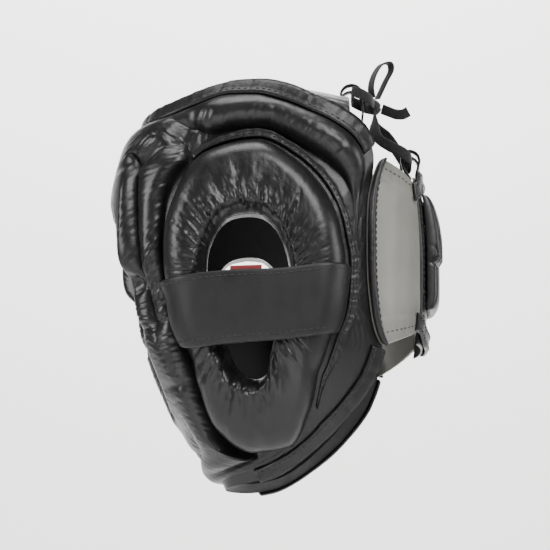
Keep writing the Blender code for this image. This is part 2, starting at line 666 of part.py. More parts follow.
def wing_loops(along, across):
    """Loops of a rear wing, from its beaded front edge to the slot beside the back panel."""
    s = np.linspace(0, 1, along)[:, None]
    t = (0.5 - 0.5 * np.cos(np.linspace(0, math.pi, across)))[None, :]
    front = WING_FRONT_TURN + WING_CORNER_TURN * (1 - np.sqrt(1 - 0.97 * np.abs(2 * t - 1) ** 2.6))
    turns = front + (WING_REAR_TURN - front) * s
    top = WING_TOP_DROP + (WING_TOP_REAR_DROP - WING_TOP_DROP) * s ** 1.4
    bottom = WING_BOTTOM_DROP + (WING_BOTTOM_REAR_DROP - WING_BOTTOM_DROP) * s
    drops = top + (bottom - top) * t
    bead = WING_BEAD * np.exp(-((s / 0.08) ** 2)) * np.ones_like(t)
    lift = wing_lift(turns, drops)
    outer = lifted(turns, drops, lift + WING_THICKNESS + bead)
    inner = lifted(turns, drops, lift)
    return np.concatenate([outer, inner[:, ::-1]], axis=1)


def panel_loops(along, across):
    """Loops of the back panel."""
    turns = 180 + np.linspace(-PANEL_HALF_TURN, PANEL_HALF_TURN, along)[:, None] + np.zeros((1, across))
    drops = np.linspace(PANEL_TOP_DROP, PANEL_BOTTOM_DROP, across)[None, :] + np.zeros((along, 1))
    lifts = np.zeros((along, across))
    return plate_loops(turns, drops, lifts, WING_THICKNESS)


def back_strap_loops(drop_side, drop_middle):
    """Loops of a band across the back, from wing to wing over the back panel."""
    wing_turn = 180 - WING_REAR_TURN
    half_turns = np.concatenate([
        np.linspace(0, PANEL_HALF_TURN, 4),
        np.linspace(wing_turn, BACK_STRAP_HALF_TURN, 3),
    ])
    offset = np.concatenate([-half_turns[:0:-1], half_turns])[:, None]
    bend = wave((BACK_STRAP_HALF_TURN - np.abs(offset)) / (BACK_STRAP_HALF_TURN - BACK_STRAP_CREST_TURN))
    middle = drop_side + (drop_middle - drop_side) * bend
    half = BACK_STRAP_HEIGHT / 2 / GUARD_HEIGHT
    drops = middle + np.array([-half, 0, half])[None, :]
    climb = np.clip((np.abs(offset) - PANEL_HALF_TURN) / (wing_turn - PANEL_HALF_TURN), 0, 1)
    lift = WING_THICKNESS + SEAT_GAP + WING_LIFT * climb + 0 * drops
    return plate_loops(180 + offset + 0 * drops, drops, lift, LEATHER)


def tab_loops(along, across):
    """Loops of the closure tab: gathered and bulging above its seam, flat below it."""
    s = np.linspace(-1, 1, along)[:, None]
    t = np.linspace(0, 1, across)[None, :]
    turns = 180 + TAB_HALF_TURN * s + 0 * t
    drops = TAB_TOP_DROP + (TAB_BOTTOM_DROP - TAB_TOP_DROP) * t + 0 * s
    seam = (TAB_SEAM_DROP - TAB_TOP_DROP) / (TAB_BOTTOM_DROP - TAB_TOP_DROP)
    upper = puff(t / seam * 1.3) * (1 - 0.25 * puff(1 - np.abs(t - seam) / 0.06))
    lower = TAB_FLAT / TAB_BULGE * puff((1 - t) * 6)
    body = np.where(t < seam, upper, lower)
    gather = 1 - 0.10 * np.cos(s * math.pi * TAB_GATHERS) * np.where(t < seam, 1, 0)
    edge = puff((1 - np.abs(s)) * 3)
    lift = WING_THICKNESS + SEAT_GAP
    outer = lifted(turns, drops, lift + LEATHER + TAB_BULGE * body * gather * edge)
    inner = lifted(turns, drops, lift + 0 * turns)
    return np.concatenate([outer, inner[:, ::-1]], axis=1)


def flap_loops(along, across):
    """Loops of the crown flap, a leather panel stretched between the two sides of the crown rim."""
    place = np.linspace(0, 9, 400)
    columns = station_columns(place)
    seat = rise_levels(place)[4] * ROLL_RISE - WALL / 2
    rim = lifted(columns["rim_turn"], columns["rim_drop"], seat)
    depth = np.linspace(rim[0, 1] + FLAP_FRONT_INSET, FLAP_REAR, along)
    half = np.interp(depth, rim[:, 1], rim[:, 0])
    edge = np.interp(depth, rim[:, 1], rim[:, 2]) + FLAP_SEAT
    across_share = np.linspace(-1, 1, across)
    x = half[:, None] * across_share
    rear_fall = FLAP_REAR_FALL * wave((depth - FLAP_REAR) / FLAP_CLIMB + 0.7)
    front_fall = FLAP_FRONT_FALL * wave((-FLAP_REAR - depth) / FLAP_CLIMB + 0.2)
    swell = puff((depth - depth[0]) / FLAP_CLIMB)
    middle = edge + (FLAP_CROWN - rear_fall - front_fall - edge) * swell
    z = edge[:, None] + (middle - edge)[:, None] * (1 - np.abs(across_share) ** 2.5)
    y = depth[:, None] + 0 * x
    outer = np.stack([x, y, z + LEATHER], axis=-1)
    inner = np.stack([x, y, z], axis=-1)
    return np.concatenate([outer, inner[:, ::-1]], axis=1)


def spline_through(place, values):
    """Catmull-Rom curve through evenly spaced values."""
    padded = np.concatenate([[2 * values[0] - values[1]], values, [2 * values[-1] - values[-2]]])
    k = np.clip(place.astype(int), 0, len(values) - 2)
    t = place - k
    a, b, c, d = padded[k], padded[k + 1], padded[k + 2], padded[k + 3]
    curve = 2 * b + (c - a) * t + (2 * a - 5 * b + 4 * c - d) * t ** 2 + (3 * b - a - 3 * c + d) * t ** 3
    return 0.5 * curve


def ribbon_loops(route, steps, width, thickness, shift=0.0):
    """Loops of a flat band along a smooth curve through its route, shifted across by a distance."""
    table = np.array(route, float)
    place = np.linspace(0, len(table) - 1, steps)
    columns = np.stack([spline_through(place, table[:, k]) for k in range(6)], axis=-1)
    points = columns[:, :3] + np.array([shift, 0.0, 0.0])
    wide = columns[:, 3:]
    tangent = np.gradient(points, axis=0)
    tangent = tangent / np.linalg.norm(tangent, axis=-1, keepdims=True)
    wide = wide - tangent * np.sum(wide * tangent, axis=-1, keepdims=True)
    wide = wide / np.linalg.norm(wide, axis=-1, keepdims=True)
    thin = np.cross(tangent, wide)
    profile = ((1, 1), (-1, 1), (-1, -1), (1, -1))
    loops = [points + wide * (a * width / 2) + thin * (b * thickness / 2) for a, b in profile]
    return np.stack(loops, axis=1)


def build_shell(leather):
    """The padded shell with an ear opening cut through each side."""
    loops = both_halves(shell_loops(2, (4, 4, 3, 5, 1), (2, 1, 2, 1, 1)))
    shell = add_piece("padded_shell", loops, leather, closed=True)
    clock = np.linspace(0, 360, 28, endpoint=False)
    outer, hole = pad_radii(clock)
    y = PAD_DEPTH_SHARE * GUARD_DEPTH + hole * np.sin(np.radians(clock))
    z = -PAD_DROP * GUARD_HEIGHT + hole * np.cos(np.radians(clock))
    reach = HALF_BREADTH * 1.4
    ends = [np.stack([np.full(y.shape, x), y, z], axis=-1) for x in (-reach, reach)]
    cutter = add_piece("ear_cutter", np.stack(ends), leather)
    cutter.hide_render = True
    cutter.display_type = "WIRE"
    cut = shell.modifiers.new("ear openings", "BOOLEAN")
    cut.operation = "DIFFERENCE"
    cut.solver = "EXACT"
    cut.object = cutter


def build_ear_parts(leather, flange_leather):
    """Ear pads, the bands over them and the flanges behind them."""
    add_pair("ear_pad", pad_loops(36, 8, 2), leather, closed=True)
    add_pair("ear_strap", strap_loops(6), leather)
    add_pair("ear_flange", flange_loops(22), flange_leather)


def build_bindings(leather):
    """Stitched strips on the crown rim and on the two neck edges."""
    left = binding_loops(0, 10.6, 21)
    ring = np.concatenate([mirrored(left[:0:-1]), left], axis=0)
    add_piece("crown_binding", ring, leather)
    add_pair("neck_binding", binding_loops(15.2, 20.4, 14), leather)


def build_back(wing_leather, leather):
    """Rear wings, back panel, the bands between them and the closure tab."""
    add_pair("rear_wing", wing_loops(8, 11), wing_leather)
    add_piece("back_panel", panel_loops(7, 7), leather)
    half = BACK_STRAP_HEIGHT / 2 / GUARD_HEIGHT
    add_piece("back_strap_top", back_strap_loops(WING_TOP_REAR_DROP + half, PANEL_TOP_DROP), leather)
    low = back_strap_loops(WING_BOTTOM_REAR_DROP - half, PANEL_BOTTOM_DROP - half)
    add_piece("back_strap_bottom", low, leather)
    add_piece("closure_tab", tab_loops(9, 8), leather)


def build_crown(leather):
    """Crown flap and the leather loops at its rear edge and on the back panel."""
    add_piece("crown_flap", flap_loops(11, 11), leather)
    add_pair("crown_loop", ribbon_loops(CROWN_LOOP, 13, LOOP_WIDTH, LOOP_THICKNESS, LOOP_SPREAD), leather)
    add_pair("back_loop", ribbon_loops(BACK_LOOP, 16, LOOP_WIDTH, LOOP_THICKNESS, LOOP_SPREAD), leather)


def knot_loops(middle, sides, rows):
    """Loops of the lace's knot, a flattened ball with a waist."""
    swing = np.linspace(0.25, math.pi - 0.25, rows)
    round_angle = np.linspace(0, 2 * math.pi, sides, endpoint=False)
    radius = KNOT_RADIUS * np.sin(swing) * (1 - 0.12 * np.sin(swing) ** 8)
    x = radius[:, None] * np.cos(round_angle) * KNOT_STRETCH
    y = radius[:, None] * np.sin(round_angle)
    z = (KNOT_RADIUS * np.cos(swing))[:, None] + 0 * x
    return np.stack([x, y, z], axis=-1) + np.array(middle)


def build_lace(woven):
    """The flat lace from the crown loops to the back loops, its knot, bow loop and free end."""
    add_pair("lace_top", ribbon_loops(LACE_TOP, 14, LACE_WIDTH, LACE_THICKNESS), woven)
    add_piece("lace_left", ribbon_loops(LACE_LEFT, 20, LACE_WIDTH, LACE_THICKNESS), woven)
    add_piece("lace_right", ribbon_loops(LACE_RIGHT, 18, LACE_WIDTH, LACE_THICKNESS), woven)
    add_piece("lace_knot", knot_loops(KNOT_PLACE, 10, 7), woven)
    add_piece("lace_bow", ribbon_loops(LACE_BOW, 20, LACE_WIDTH, LACE_THICKNESS), woven)
    add_piece("lace_end", ribbon_loops(LACE_END, 10, LACE_WIDTH, LACE_THICKNESS), woven)


def build_label(fabric):
    """The small red label behind the band over the left ear pad, showing above its top edge."""
    depth = PAD_DEPTH_SHARE * GUARD_DEPTH - LABEL_FORWARD + np.linspace(-0.5, 0.5, 5) * LABEL_LENGTH
    drop = STRAP_TOP_DROP + (np.linspace(-LABEL_HEIGHT, 0, 3) + LABEL_TUCK) / GUARD_HEIGHT
    depths, drops = np.meshgrid(depth, drop, indexing="ij")
    lift = PAD_THICKNESS + PAD_GAP + STRAP_GAP - SEAT_GAP - LABEL_THICKNESS + 0 * drops
    add_piece("inner_label_left", plate_loops(turn_beside(depths, drops), drops, lift, LABEL_THICKNESS), fabric)


def build_guard():
    """Build every piece of the head guard."""
    clear_scene()
    leather = make_material("black_leather", (0.02, 0.02, 0.02), 0.38)
    wing_leather = make_material("smooth_wing_leather", (0.10, 0.10, 0.095), 0.42)
    flange_leather = make_material("flange_leather", (0.015, 0.015, 0.015), 0.45)
    woven = make_material("black_woven_lace", (0.02, 0.02, 0.022), 0.8)
    red_fabric = make_material("red_label_fabric", (0.35, 0.02, 0.02), 0.7)
    build_shell(leather)
    build_ear_parts(leather, flange_leather)
    build_bindings(leather)
    build_back(wing_leather, leather)
    build_crown(leather)
    build_lace(woven)
    build_label(red_fabric)


build_guard()
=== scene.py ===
"""Looks of a full face boxing head guard in padded black leather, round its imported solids.

Every piece lies on one head form. A place on it is a turn, the plan angle in degrees from the middle of
the face round the wearer's left side to the back, and a drop, the distance below the crown as a share of
the guard's height. Lengths are in metres, and a name that ends in _mm says millimetres.
"""

import logging
import math
from dataclasses import dataclass, field
from enum import Enum

import bpy
import numpy as np
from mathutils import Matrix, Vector


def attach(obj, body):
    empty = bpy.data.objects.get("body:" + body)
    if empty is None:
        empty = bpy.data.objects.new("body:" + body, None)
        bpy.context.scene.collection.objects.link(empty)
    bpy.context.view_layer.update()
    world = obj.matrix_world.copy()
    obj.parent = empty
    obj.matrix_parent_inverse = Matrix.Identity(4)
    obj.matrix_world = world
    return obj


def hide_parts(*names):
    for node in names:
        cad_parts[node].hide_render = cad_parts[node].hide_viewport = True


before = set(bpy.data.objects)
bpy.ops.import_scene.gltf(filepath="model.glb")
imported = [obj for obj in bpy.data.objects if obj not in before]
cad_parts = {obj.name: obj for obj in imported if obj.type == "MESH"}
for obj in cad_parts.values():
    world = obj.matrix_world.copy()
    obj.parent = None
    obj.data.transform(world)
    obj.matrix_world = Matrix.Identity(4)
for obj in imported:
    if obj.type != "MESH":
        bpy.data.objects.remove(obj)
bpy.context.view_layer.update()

log = logging.getLogger("head_guard")
Array = np.ndarray


class Side(Enum):
    """Side of the wearer that a piece of a pair is on."""

    LEFT = 1
    RIGHT = -1

    @property
    def word(self) -> str:
        """Ending of the node's name."""
        return self.name.lower()


class Weave(Enum):
    """How the threads of a woven band cross."""

    PLAIN = 1.0
    TWILL = 2.0


# Curves and noise


def curve_through(x: Array, knots: Array, values: Array) -> Array:
    """Monotone cubic through the knots: each tangent is the harmonic mean of its two slopes.

    Args:
        x: places where the curve is wanted.
        knots: rising places of the given values.
        values: values at the knots.

    Returns:
        The curve's values at x.
    """
    knots = np.asarray(knots, float)
    values = np.asarray(values, float)
    step = np.diff(knots)
    slope = np.diff(values) / step
    tangent = np.concatenate([slope[:1], np.zeros(len(slope) - 1), slope[-1:]])
    same = slope[:-1] * slope[1:] > 0
    total = slope[:-1] + slope[1:]
    tangent[1:-1] = np.where(same, 2 * slope[:-1] * slope[1:] / np.where(same, total, 1), 0)
    k = np.clip(np.searchsorted(knots, x, side="right") - 1, 0, len(knots) - 2)
    t = (x - knots[k]) / step[k]
    start = (1 + 2 * t) * (1 - t) ** 2 * values[k] + t * (1 - t) ** 2 * step[k] * tangent[k]
    end = t * t * (3 - 2 * t) * values[k + 1] + t * t * (t - 1) * step[k] * tangent[k + 1]
    return start + end


def spline_through(place: Array, values: Array) -> Array:
    """Catmull-Rom curve through evenly spaced values.

    Args:
        place: places counted in values, from 0.
        values: one value for each whole place.

    Returns:
        The curve's values at the places.
    """
    padded = np.concatenate([[2 * values[0] - values[1]], values, [2 * values[-1] - values[-2]]])
    k = np.clip(place.astype(int), 0, len(values) - 2)
    t = place - k
    a, b, c, d = padded[k], padded[k + 1], padded[k + 2], padded[k + 3]
    return 0.5 * (2 * b + (c - a) * t + (2 * a - 5 * b + 4 * c - d) * t**2 + (3 * b - a - 3 * c + d) * t**3)


def puff(share: Array) -> Array:
    """Quarter round of a padded edge: 0 at the seam, 1 from the share 1 on."""
    return np.sqrt(1 - (1 - np.clip(share, 0, 1)) ** 2)


def wave(share: Array) -> Array:
    """Even step from 0 to 1, three squares less two cubes of the share."""
    share = np.clip(share, 0, 1)
    return share * share * (3 - 2 * share)


def round_edge(share: Array, edge: float) -> Array:
    """Height of a plate with rounded edges at shares 0 to 1 across it, 1 away from its edges."""
    return puff(np.minimum(share, 1 - share) / edge)


def spread(count: int) -> Array:
    """Shares 0 to 1 that lie closer together near both ends, half of one less a cosine."""
    return 0.5 - 0.5 * np.cos(np.linspace(0, math.pi, count))


def ripple(x: Array, seed: float = 0.0) -> Array:
    """Uneven swell between -1 and 1: the mean of four sines whose lengths have no common measure."""
    parts = [np.sin(x * k + seed * p) for k, p in ((1.0, 1.3), (1.73, 2.1), (2.61, 0.7), (0.58, 3.4))]
    return np.mean(parts, axis=0) * 1.6


def crease(x: Array) -> Array:
    """Sharp valleys one unit apart: 1 in each valley, falling off to 0 between them."""
    return (1 - np.abs(np.sin(math.pi * x))) ** 2.2


# Meshes


def mesh_from_quads(name: str, points: Array, quads: Array, uv: Array | None = None) -> bpy.types.Object:
    """Object whose mesh has the given four-sided faces, smooth shaded.

    Args:
        name: name of the object.
        points: one row of three coordinates for each vertex.
        quads: one row of four vertex numbers for each face.
        uv: one row of two texture coordinates for each face corner, if the finish follows the surface.

    Returns:
        The new object, at the origin.
    """
    mesh = bpy.data.meshes.new(name)
    mesh.vertices.add(len(points))
    mesh.vertices.foreach_set("co", np.ascontiguousarray(points, np.float32).ravel())
    mesh.loops.add(quads.size)
    mesh.loops.foreach_set("vertex_index", np.ascontiguousarray(quads, np.int32).ravel())
    mesh.polygons.add(len(quads))
    mesh.polygons.foreach_set("loop_start", np.arange(0, quads.size, 4, dtype=np.int32))
    mesh.update(calc_edges=True)
    if uv is not None:
        layer = mesh.uv_layers.new(name="along")
        layer.data.foreach_set("uv", np.ascontiguousarray(uv, np.float32).ravel())
    mesh.validate()
    mesh.shade_smooth()
    piece = bpy.data.objects.new(name, mesh)
    bpy.context.scene.collection.objects.link(piece)
    return piece


def grid_quads(numbers: Array) -> Array:
    """Faces between the neighbours of a grid of vertex numbers, one row of four for each."""
    corners = [numbers[:-1, :-1], numbers[:-1, 1:], numbers[1:, 1:], numbers[1:, :-1]]
    return np.stack(corners, axis=-1).reshape(-1, 4)


def outward(points: Array, quads: Array) -> Array:
    """The same faces, turned over if their closed surface has its inside out.

    The signed volume is a sixth of the sum of the triple products of each face's corners.
    """
    a, b, c, d = (points[quads[:, k]] for k in range(4))
    volume = np.sum(np.cross(b, c) * a) + np.sum(np.cross(c, d) * a)
    return quads if volume > 0 else quads[:, ::-1]


def tube_piece(name: str, loops: Array, ring: bool = False, uv_size: tuple[float, float] | None = None) -> bpy.types.Object:
    """Skin of a row of closed loops, with its ends closed by strips unless the row is a ring.

    Args:
        name: name of the object.
        loops: grid of points, one row for each loop.
        ring: whether the last loop joins the first.
        uv_size: length and girth in metres, if the finish follows the surface.

    Returns:
        The new object.
    """
    rows, count = loops.shape[:2]
    numbers = np.arange(rows * count).reshape(rows, count)
    wrapped = np.concatenate([numbers, numbers[:, :1]], axis=1)
    if ring:
        wrapped = np.concatenate([wrapped, wrapped[:1]], axis=0)
    quads = grid_quads(wrapped)
    sides = len(quads)
    if not ring:
        half = count // 2
        for row in (numbers[0], numbers[-1][::-1]):
            strip = np.stack([row[:half], row[::-1][:half]])
            quads = np.concatenate([quads, grid_quads(strip)])
    points = loops.reshape(-1, 3)
    turned = outward(points, quads)
    uv = None
    if uv_size is not None:
        cells = np.stack(np.meshgrid(np.arange(rows), np.arange(count + 1), indexing="ij"), axis=-1)
        cells = cells * np.array([uv_size[0] / (rows - 1), uv_size[1] / count])
        corner = [cells[:-1, :-1], cells[:-1, 1:], cells[1:, 1:], cells[1:, :-1]]
        uv = np.stack(corner, axis=2).reshape(-1, 4, 2)
        uv = np.concatenate([uv, np.zeros((len(quads) - sides, 4, 2))])
        uv = uv if turned is quads else uv[:, ::-1]
    return mesh_from_quads(name, points, turned, None if uv is None else uv.reshape(-1, 2))


def plate_piece(name: str, upper: Array, lower: Array) -> bpy.types.Object:
    """Closed plate between two grids of points that meet along their edges.

    Args:
        name: name of the object.
        upper: grid of points on the outer face.
        lower: grid of points on the inner face; its edge points aren't used.

    Returns:
        The new object.
    """
    rows, columns = upper.shape[:2]
    top = np.arange(rows * columns).reshape(rows, columns)
    bottom = top.copy()
    inner = (rows - 2) * (columns - 2)
    bottom[1:-1, 1:-1] = rows * columns + np.arange(inner).reshape(rows - 2, columns - 2)
    points = np.concatenate([upper.reshape(-1, 3), lower[1:-1, 1:-1].reshape(-1, 3)])
    quads = np.concatenate([grid_quads(top), grid_quads(bottom)[:, ::-1]])
    return mesh_from_quads(name, points, outward(points, quads))


def mirrored(points: Array, side: Side) -> Array:
    """The points on the given side of the wearer; they are worked out for the left."""
    return points * np.array([float(side.value), 1.0, 1.0])


# Finishes


def linear(colour: str) -> tuple[float, float, float, float]:
    """Linear colour of an sRGB hex value such as 1a1a1a, by the sRGB standard's curve."""
    shares = [int(colour[k : k + 2], 16) / 255 for k in (0, 2, 4)]
    red, green, blue = (c / 12.92 if c <= 0.04045 else ((c + 0.055) / 1.055) ** 2.4 for c in shares)
    return red, green, blue, 1.0


def per_metre(size_mm: float) -> float:
    """Texture scale at which one cell of a pattern is that many millimetres wide."""
    return 1000.0 / size_mm


def add_node(tree: bpy.types.NodeTree, kind: str, settings: dict | None = None, links: dict | None = None) -> bpy.types.Node:
    """Add a node to a material.

    Args:
        tree: the material's node tree.
        kind: type name of the node.
        settings: values of the node's properties and sockets, by name.
        links: output sockets to join to this node's inputs, by input name or number.

    Returns:
        The new node.
    """
    node = tree.nodes.new(kind)
    for key, value in (settings or {}).items():
        if isinstance(key, str) and hasattr(node, key):
            setattr(node, key, value)
        else:
            node.inputs[key].default_value = value
    for key, source in (links or {}).items():
        tree.links.new(source, node.inputs[key])
    return node


@dataclass(frozen=True)
class Leather:
    """Dyed full-grain leather with a pressed grain and a rolled finish, which gives soft broad highlights.

    The real grain is about half a millimetre wide. It is drawn coarser, as it is too fine to show.
    """

    name: str
    dark: str
    light: str
    roughness: float
    grain_mm: float = 1.5
    grain_depth_mm: float = 0.05
    wrinkle_mm: float = 9.0
    wrinkle_depth_mm: float = 0.22
    coat: float = 0.18
    tone_mm: float = 38.0

    def material(self) -> bpy.types.Material:
        """Material with grain, fine wrinkles, and uneven tone and polish."""
        material = bpy.data.materials.new(self.name)
        material.use_nodes = True
        tree = material.node_tree
        shader = tree.nodes["Principled BSDF"]
        place = add_node(tree, "ShaderNodeTexCoord").outputs["Object"]
        grain = add_node(tree, "ShaderNodeTexVoronoi", {"feature": "SMOOTH_F1", "Scale": per_metre(self.grain_mm), "Smoothness": 0.6}, {"Vector": place})
        fine = add_node(tree, "ShaderNodeTexNoise", {"Scale": per_metre(self.grain_mm / 2), "Detail": 3.0}, {"Vector": place})
        wrinkle = add_node(tree, "ShaderNodeTexNoise", {"Scale": per_metre(self.wrinkle_mm), "Detail": 4.0, "Roughness": 0.55, "Distortion": 0.8}, {"Vector": place})
        tone = add_node(tree, "ShaderNodeTexNoise", {"Scale": per_metre(self.tone_mm), "Detail": 5.0}, {"Vector": place})
        ramp = {"From Min": 0.35, "From Max": 0.7}
        depth = add_node(tree, "ShaderNodeMapRange", {"From Max": 1.0, "To Max": self.grain_depth_mm / 1000}, {"Value": grain.outputs["Distance"]})
        pores = add_node(tree, "ShaderNodeMapRange", {"To Max": self.grain_depth_mm / 2500}, {"Value": fine.outputs["Fac"]})
        folds = add_node(tree, "ShaderNodeMapRange", {"To Max": self.wrinkle_depth_mm / 1000}, {"Value": wrinkle.outputs["Fac"]})
        both = add_node(tree, "ShaderNodeMath", {"operation": "ADD"}, {0: depth.outputs[0], 1: pores.outputs[0]})
        height = add_node(tree, "ShaderNodeMath", {"operation": "ADD"}, {0: both.outputs[0], 1: folds.outputs[0]})
        bump = add_node(tree, "ShaderNodeBump", {"Strength": 1.0, "Distance": 1.0}, {"Height": height.outputs[0]})
        share = add_node(tree, "ShaderNodeMapRange", ramp, {"Value": tone.outputs["Fac"]})
        colour = add_node(tree, "ShaderNodeMix", {"data_type": "RGBA"}, {0: share.outputs[0]})
        colour.inputs[6].default_value = linear(self.dark)
        colour.inputs[7].default_value = linear(self.light)
        polish = {"From Min": 0.3, "From Max": 0.75, "To Min": self.roughness - 0.05, "To Max": self.roughness + 0.07}
        rough = add_node(tree, "ShaderNodeMapRange", polish, {"Value": wrinkle.outputs["Fac"]})
        tree.links.new(colour.outputs[2], shader.inputs["Base Color"])
        tree.links.new(rough.outputs[0], shader.inputs["Roughness"])
        tree.links.new(bump.outputs[0], shader.inputs["Normal"])
        shader.inputs["IOR"].default_value = 1.5
        shader.inputs["Coat Weight"].default_value = self.coat
        shader.inputs["Coat Roughness"].default_value = 0.3
        return material


@dataclass(frozen=True)
class Woven:
    """Band woven from spun thread, whose crossing threads leave small shaded hollows.

    The real threads are about 0.4 mm apart. They are drawn coarser, as they are too fine to show.
    """

    name: str
    dark: str
    light: str
    thread_mm: float
    weave: Weave
    roughness: float = 0.85
    depth_mm: float = 0.25

    def material(self) -> bpy.types.Material:
        """Material whose threads follow the piece's own texture coordinates, in metres."""
        material = bpy.data.materials.new(self.name)
        material.use_nodes = True
        tree = material.node_tree
        shader = tree.nodes["Principled BSDF"]
        place = add_node(tree, "ShaderNodeTexCoord").outputs["UV"]
        lean = math.atan(self.weave.value)
        bands = []
        for turn in (lean, -lean):
            turned = add_node(tree, "ShaderNodeMapping", {"Rotation": (0.0, 0.0, turn)}, {"Vector": place})
            scale = per_metre(self.thread_mm) * 2 * math.pi / 20
            bands.append(add_node(tree, "ShaderNodeTexWave", {"Scale": scale, "Distortion": 0.0}, {"Vector": turned.outputs[0]}))
        cross = add_node(tree, "ShaderNodeMath", {"operation": "MAXIMUM"}, {0: bands[0].outputs["Fac"], 1: bands[1].outputs["Fac"]})
        colour = add_node(tree, "ShaderNodeMix", {"data_type": "RGBA"}, {0: cross.outputs[0]})
        colour.inputs[6].default_value = linear(self.dark)
        colour.inputs[7].default_value = linear(self.light)
        bump = add_node(tree, "ShaderNodeBump", {"Strength": 1.0, "Distance": self.depth_mm / 1000}, {"Height": cross.outputs[0]})
        tree.links.new(colour.outputs[2], shader.inputs["Base Color"])
        tree.links.new(bump.outputs[0], shader.inputs["Normal"])
        shader.inputs["Roughness"].default_value = self.roughness
        shader.inputs["Sheen Weight"].default_value = 0.25
        return material


@dataclass(frozen=True)
class Thread:
    """Bonded sewing thread, waxed for sewing leather, which catches a small highlight on each stitch."""

    name: str
    colour: str
    roughness: float = 0.5
    twist_mm: float = 0.8

    def material(self) -> bpy.types.Material:
        """Material with the fine twist of the thread."""
        material = bpy.data.materials.new(self.name)
        material.use_nodes = True
        tree = material.node_tree
        shader = tree.nodes["Principled BSDF"]
        place = add_node(tree, "ShaderNodeTexCoord").outputs["Object"]
        twist = add_node(tree, "ShaderNodeTexNoise", {"Scale": per_metre(self.twist_mm), "Detail": 1.0}, {"Vector": place})
        bump = add_node(tree, "ShaderNodeBump", {"Strength": 0.5, "Distance": 0.0002}, {"Height": twist.outputs["Fac"]})
        tree.links.new(bump.outputs[0], shader.inputs["Normal"])
        shader.inputs["Base Color"].default_value = linear(self.colour)
        shader.inputs["Roughness"].default_value = self.roughness
        return material


@dataclass(frozen=True)
class Painted:
    """Matt painted studio board, plain and pale."""

    name: str
    colour: str
    mottle_mm: float = 400.0

    def material(self) -> bpy.types.Material:
        """Material with a faint unevenness of tone."""
        material = bpy.data.materials.new(self.name)
        material.use_nodes = True
        tree = material.node_tree
        shader = tree.nodes["Principled BSDF"]
        place = add_node(tree, "ShaderNodeTexCoord").outputs["Object"]
        tone = add_node(tree, "ShaderNodeTexNoise", {"Scale": per_metre(self.mottle_mm), "Detail": 2.0}, {"Vector": place})
        rough = add_node(tree, "ShaderNodeMapRange", {"To Min": 0.7, "To Max": 0.8}, {"Value": tone.outputs["Fac"]})
        tree.links.new(rough.outputs[0], shader.inputs["Roughness"])
        shader.inputs["Base Color"].default_value = linear(self.colour)
        return material


@dataclass
class Finishes:
    """The guard's finishes, made once and shared by its pieces."""

    padded: bpy.types.Material = field(default_factory=lambda: Leather("black_full_grain_leather", "0b0b0c", "171718", 0.36).material())
    strap: bpy.types.Material = field(default_factory=lambda: Leather("matt_strap_leather", "0e0e0f", "151516", 0.48, 1.2, 0.04, 14.0, 0.10, 0.05).material())
    trim: bpy.types.Material = field(default_factory=lambda: Leather("creased_trim_leather", "0a0a0b", "161617", 0.40, 1.2, 0.06, 5.0, 0.35, 0.12).material())
    wing: bpy.types.Material = field(default_factory=lambda: Leather("smooth_grey_wing_leather", "75746e", "8b8a83", 0.42, 1.0, 0.02, 16.0, 0.10, 0.1, 60.0).material())
    lining: bpy.types.Material = field(default_factory=lambda: Leather("brushed_lining_leather", "09090a", "111112", 0.62, 1.0, 0.05, 12.0, 0.15, 0.0).material())
    lace: bpy.types.Material = field(default_factory=lambda: Woven("flat_woven_lace", "060607", "1d1d1f", 1.1, Weave.PLAIN).material())
    label: bpy.types.Material = field(default_factory=lambda: Woven("woven_satin_label", "5c0b0d", "8f1a1c", 0.9, Weave.TWILL, 0.6, 0.1).material())
    thread: bpy.types.Material = field(default_factory=lambda: Thread("bonded_black_thread", "2b2b2d").material())


def dress(piece: bpy.types.Object, material: bpy.types.Material, nodes: tuple[str, ...]) -> bpy.types.Object:
    """Give a piece its material and its body, and hide the solids that it stands for.

    Args:
        piece: the new piece.
        material: its finish.
        nodes: names of the solids that it replaces; none for trim on another piece.

    Returns:
        The same piece.
    """
    piece.data.materials.append(material)
    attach(piece, "root")
    if nodes:
        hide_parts(*nodes)
    log.info("%s: %d faces", piece.name, len(piece.data.polygons))
    return piece


# The form and the padding laid on it


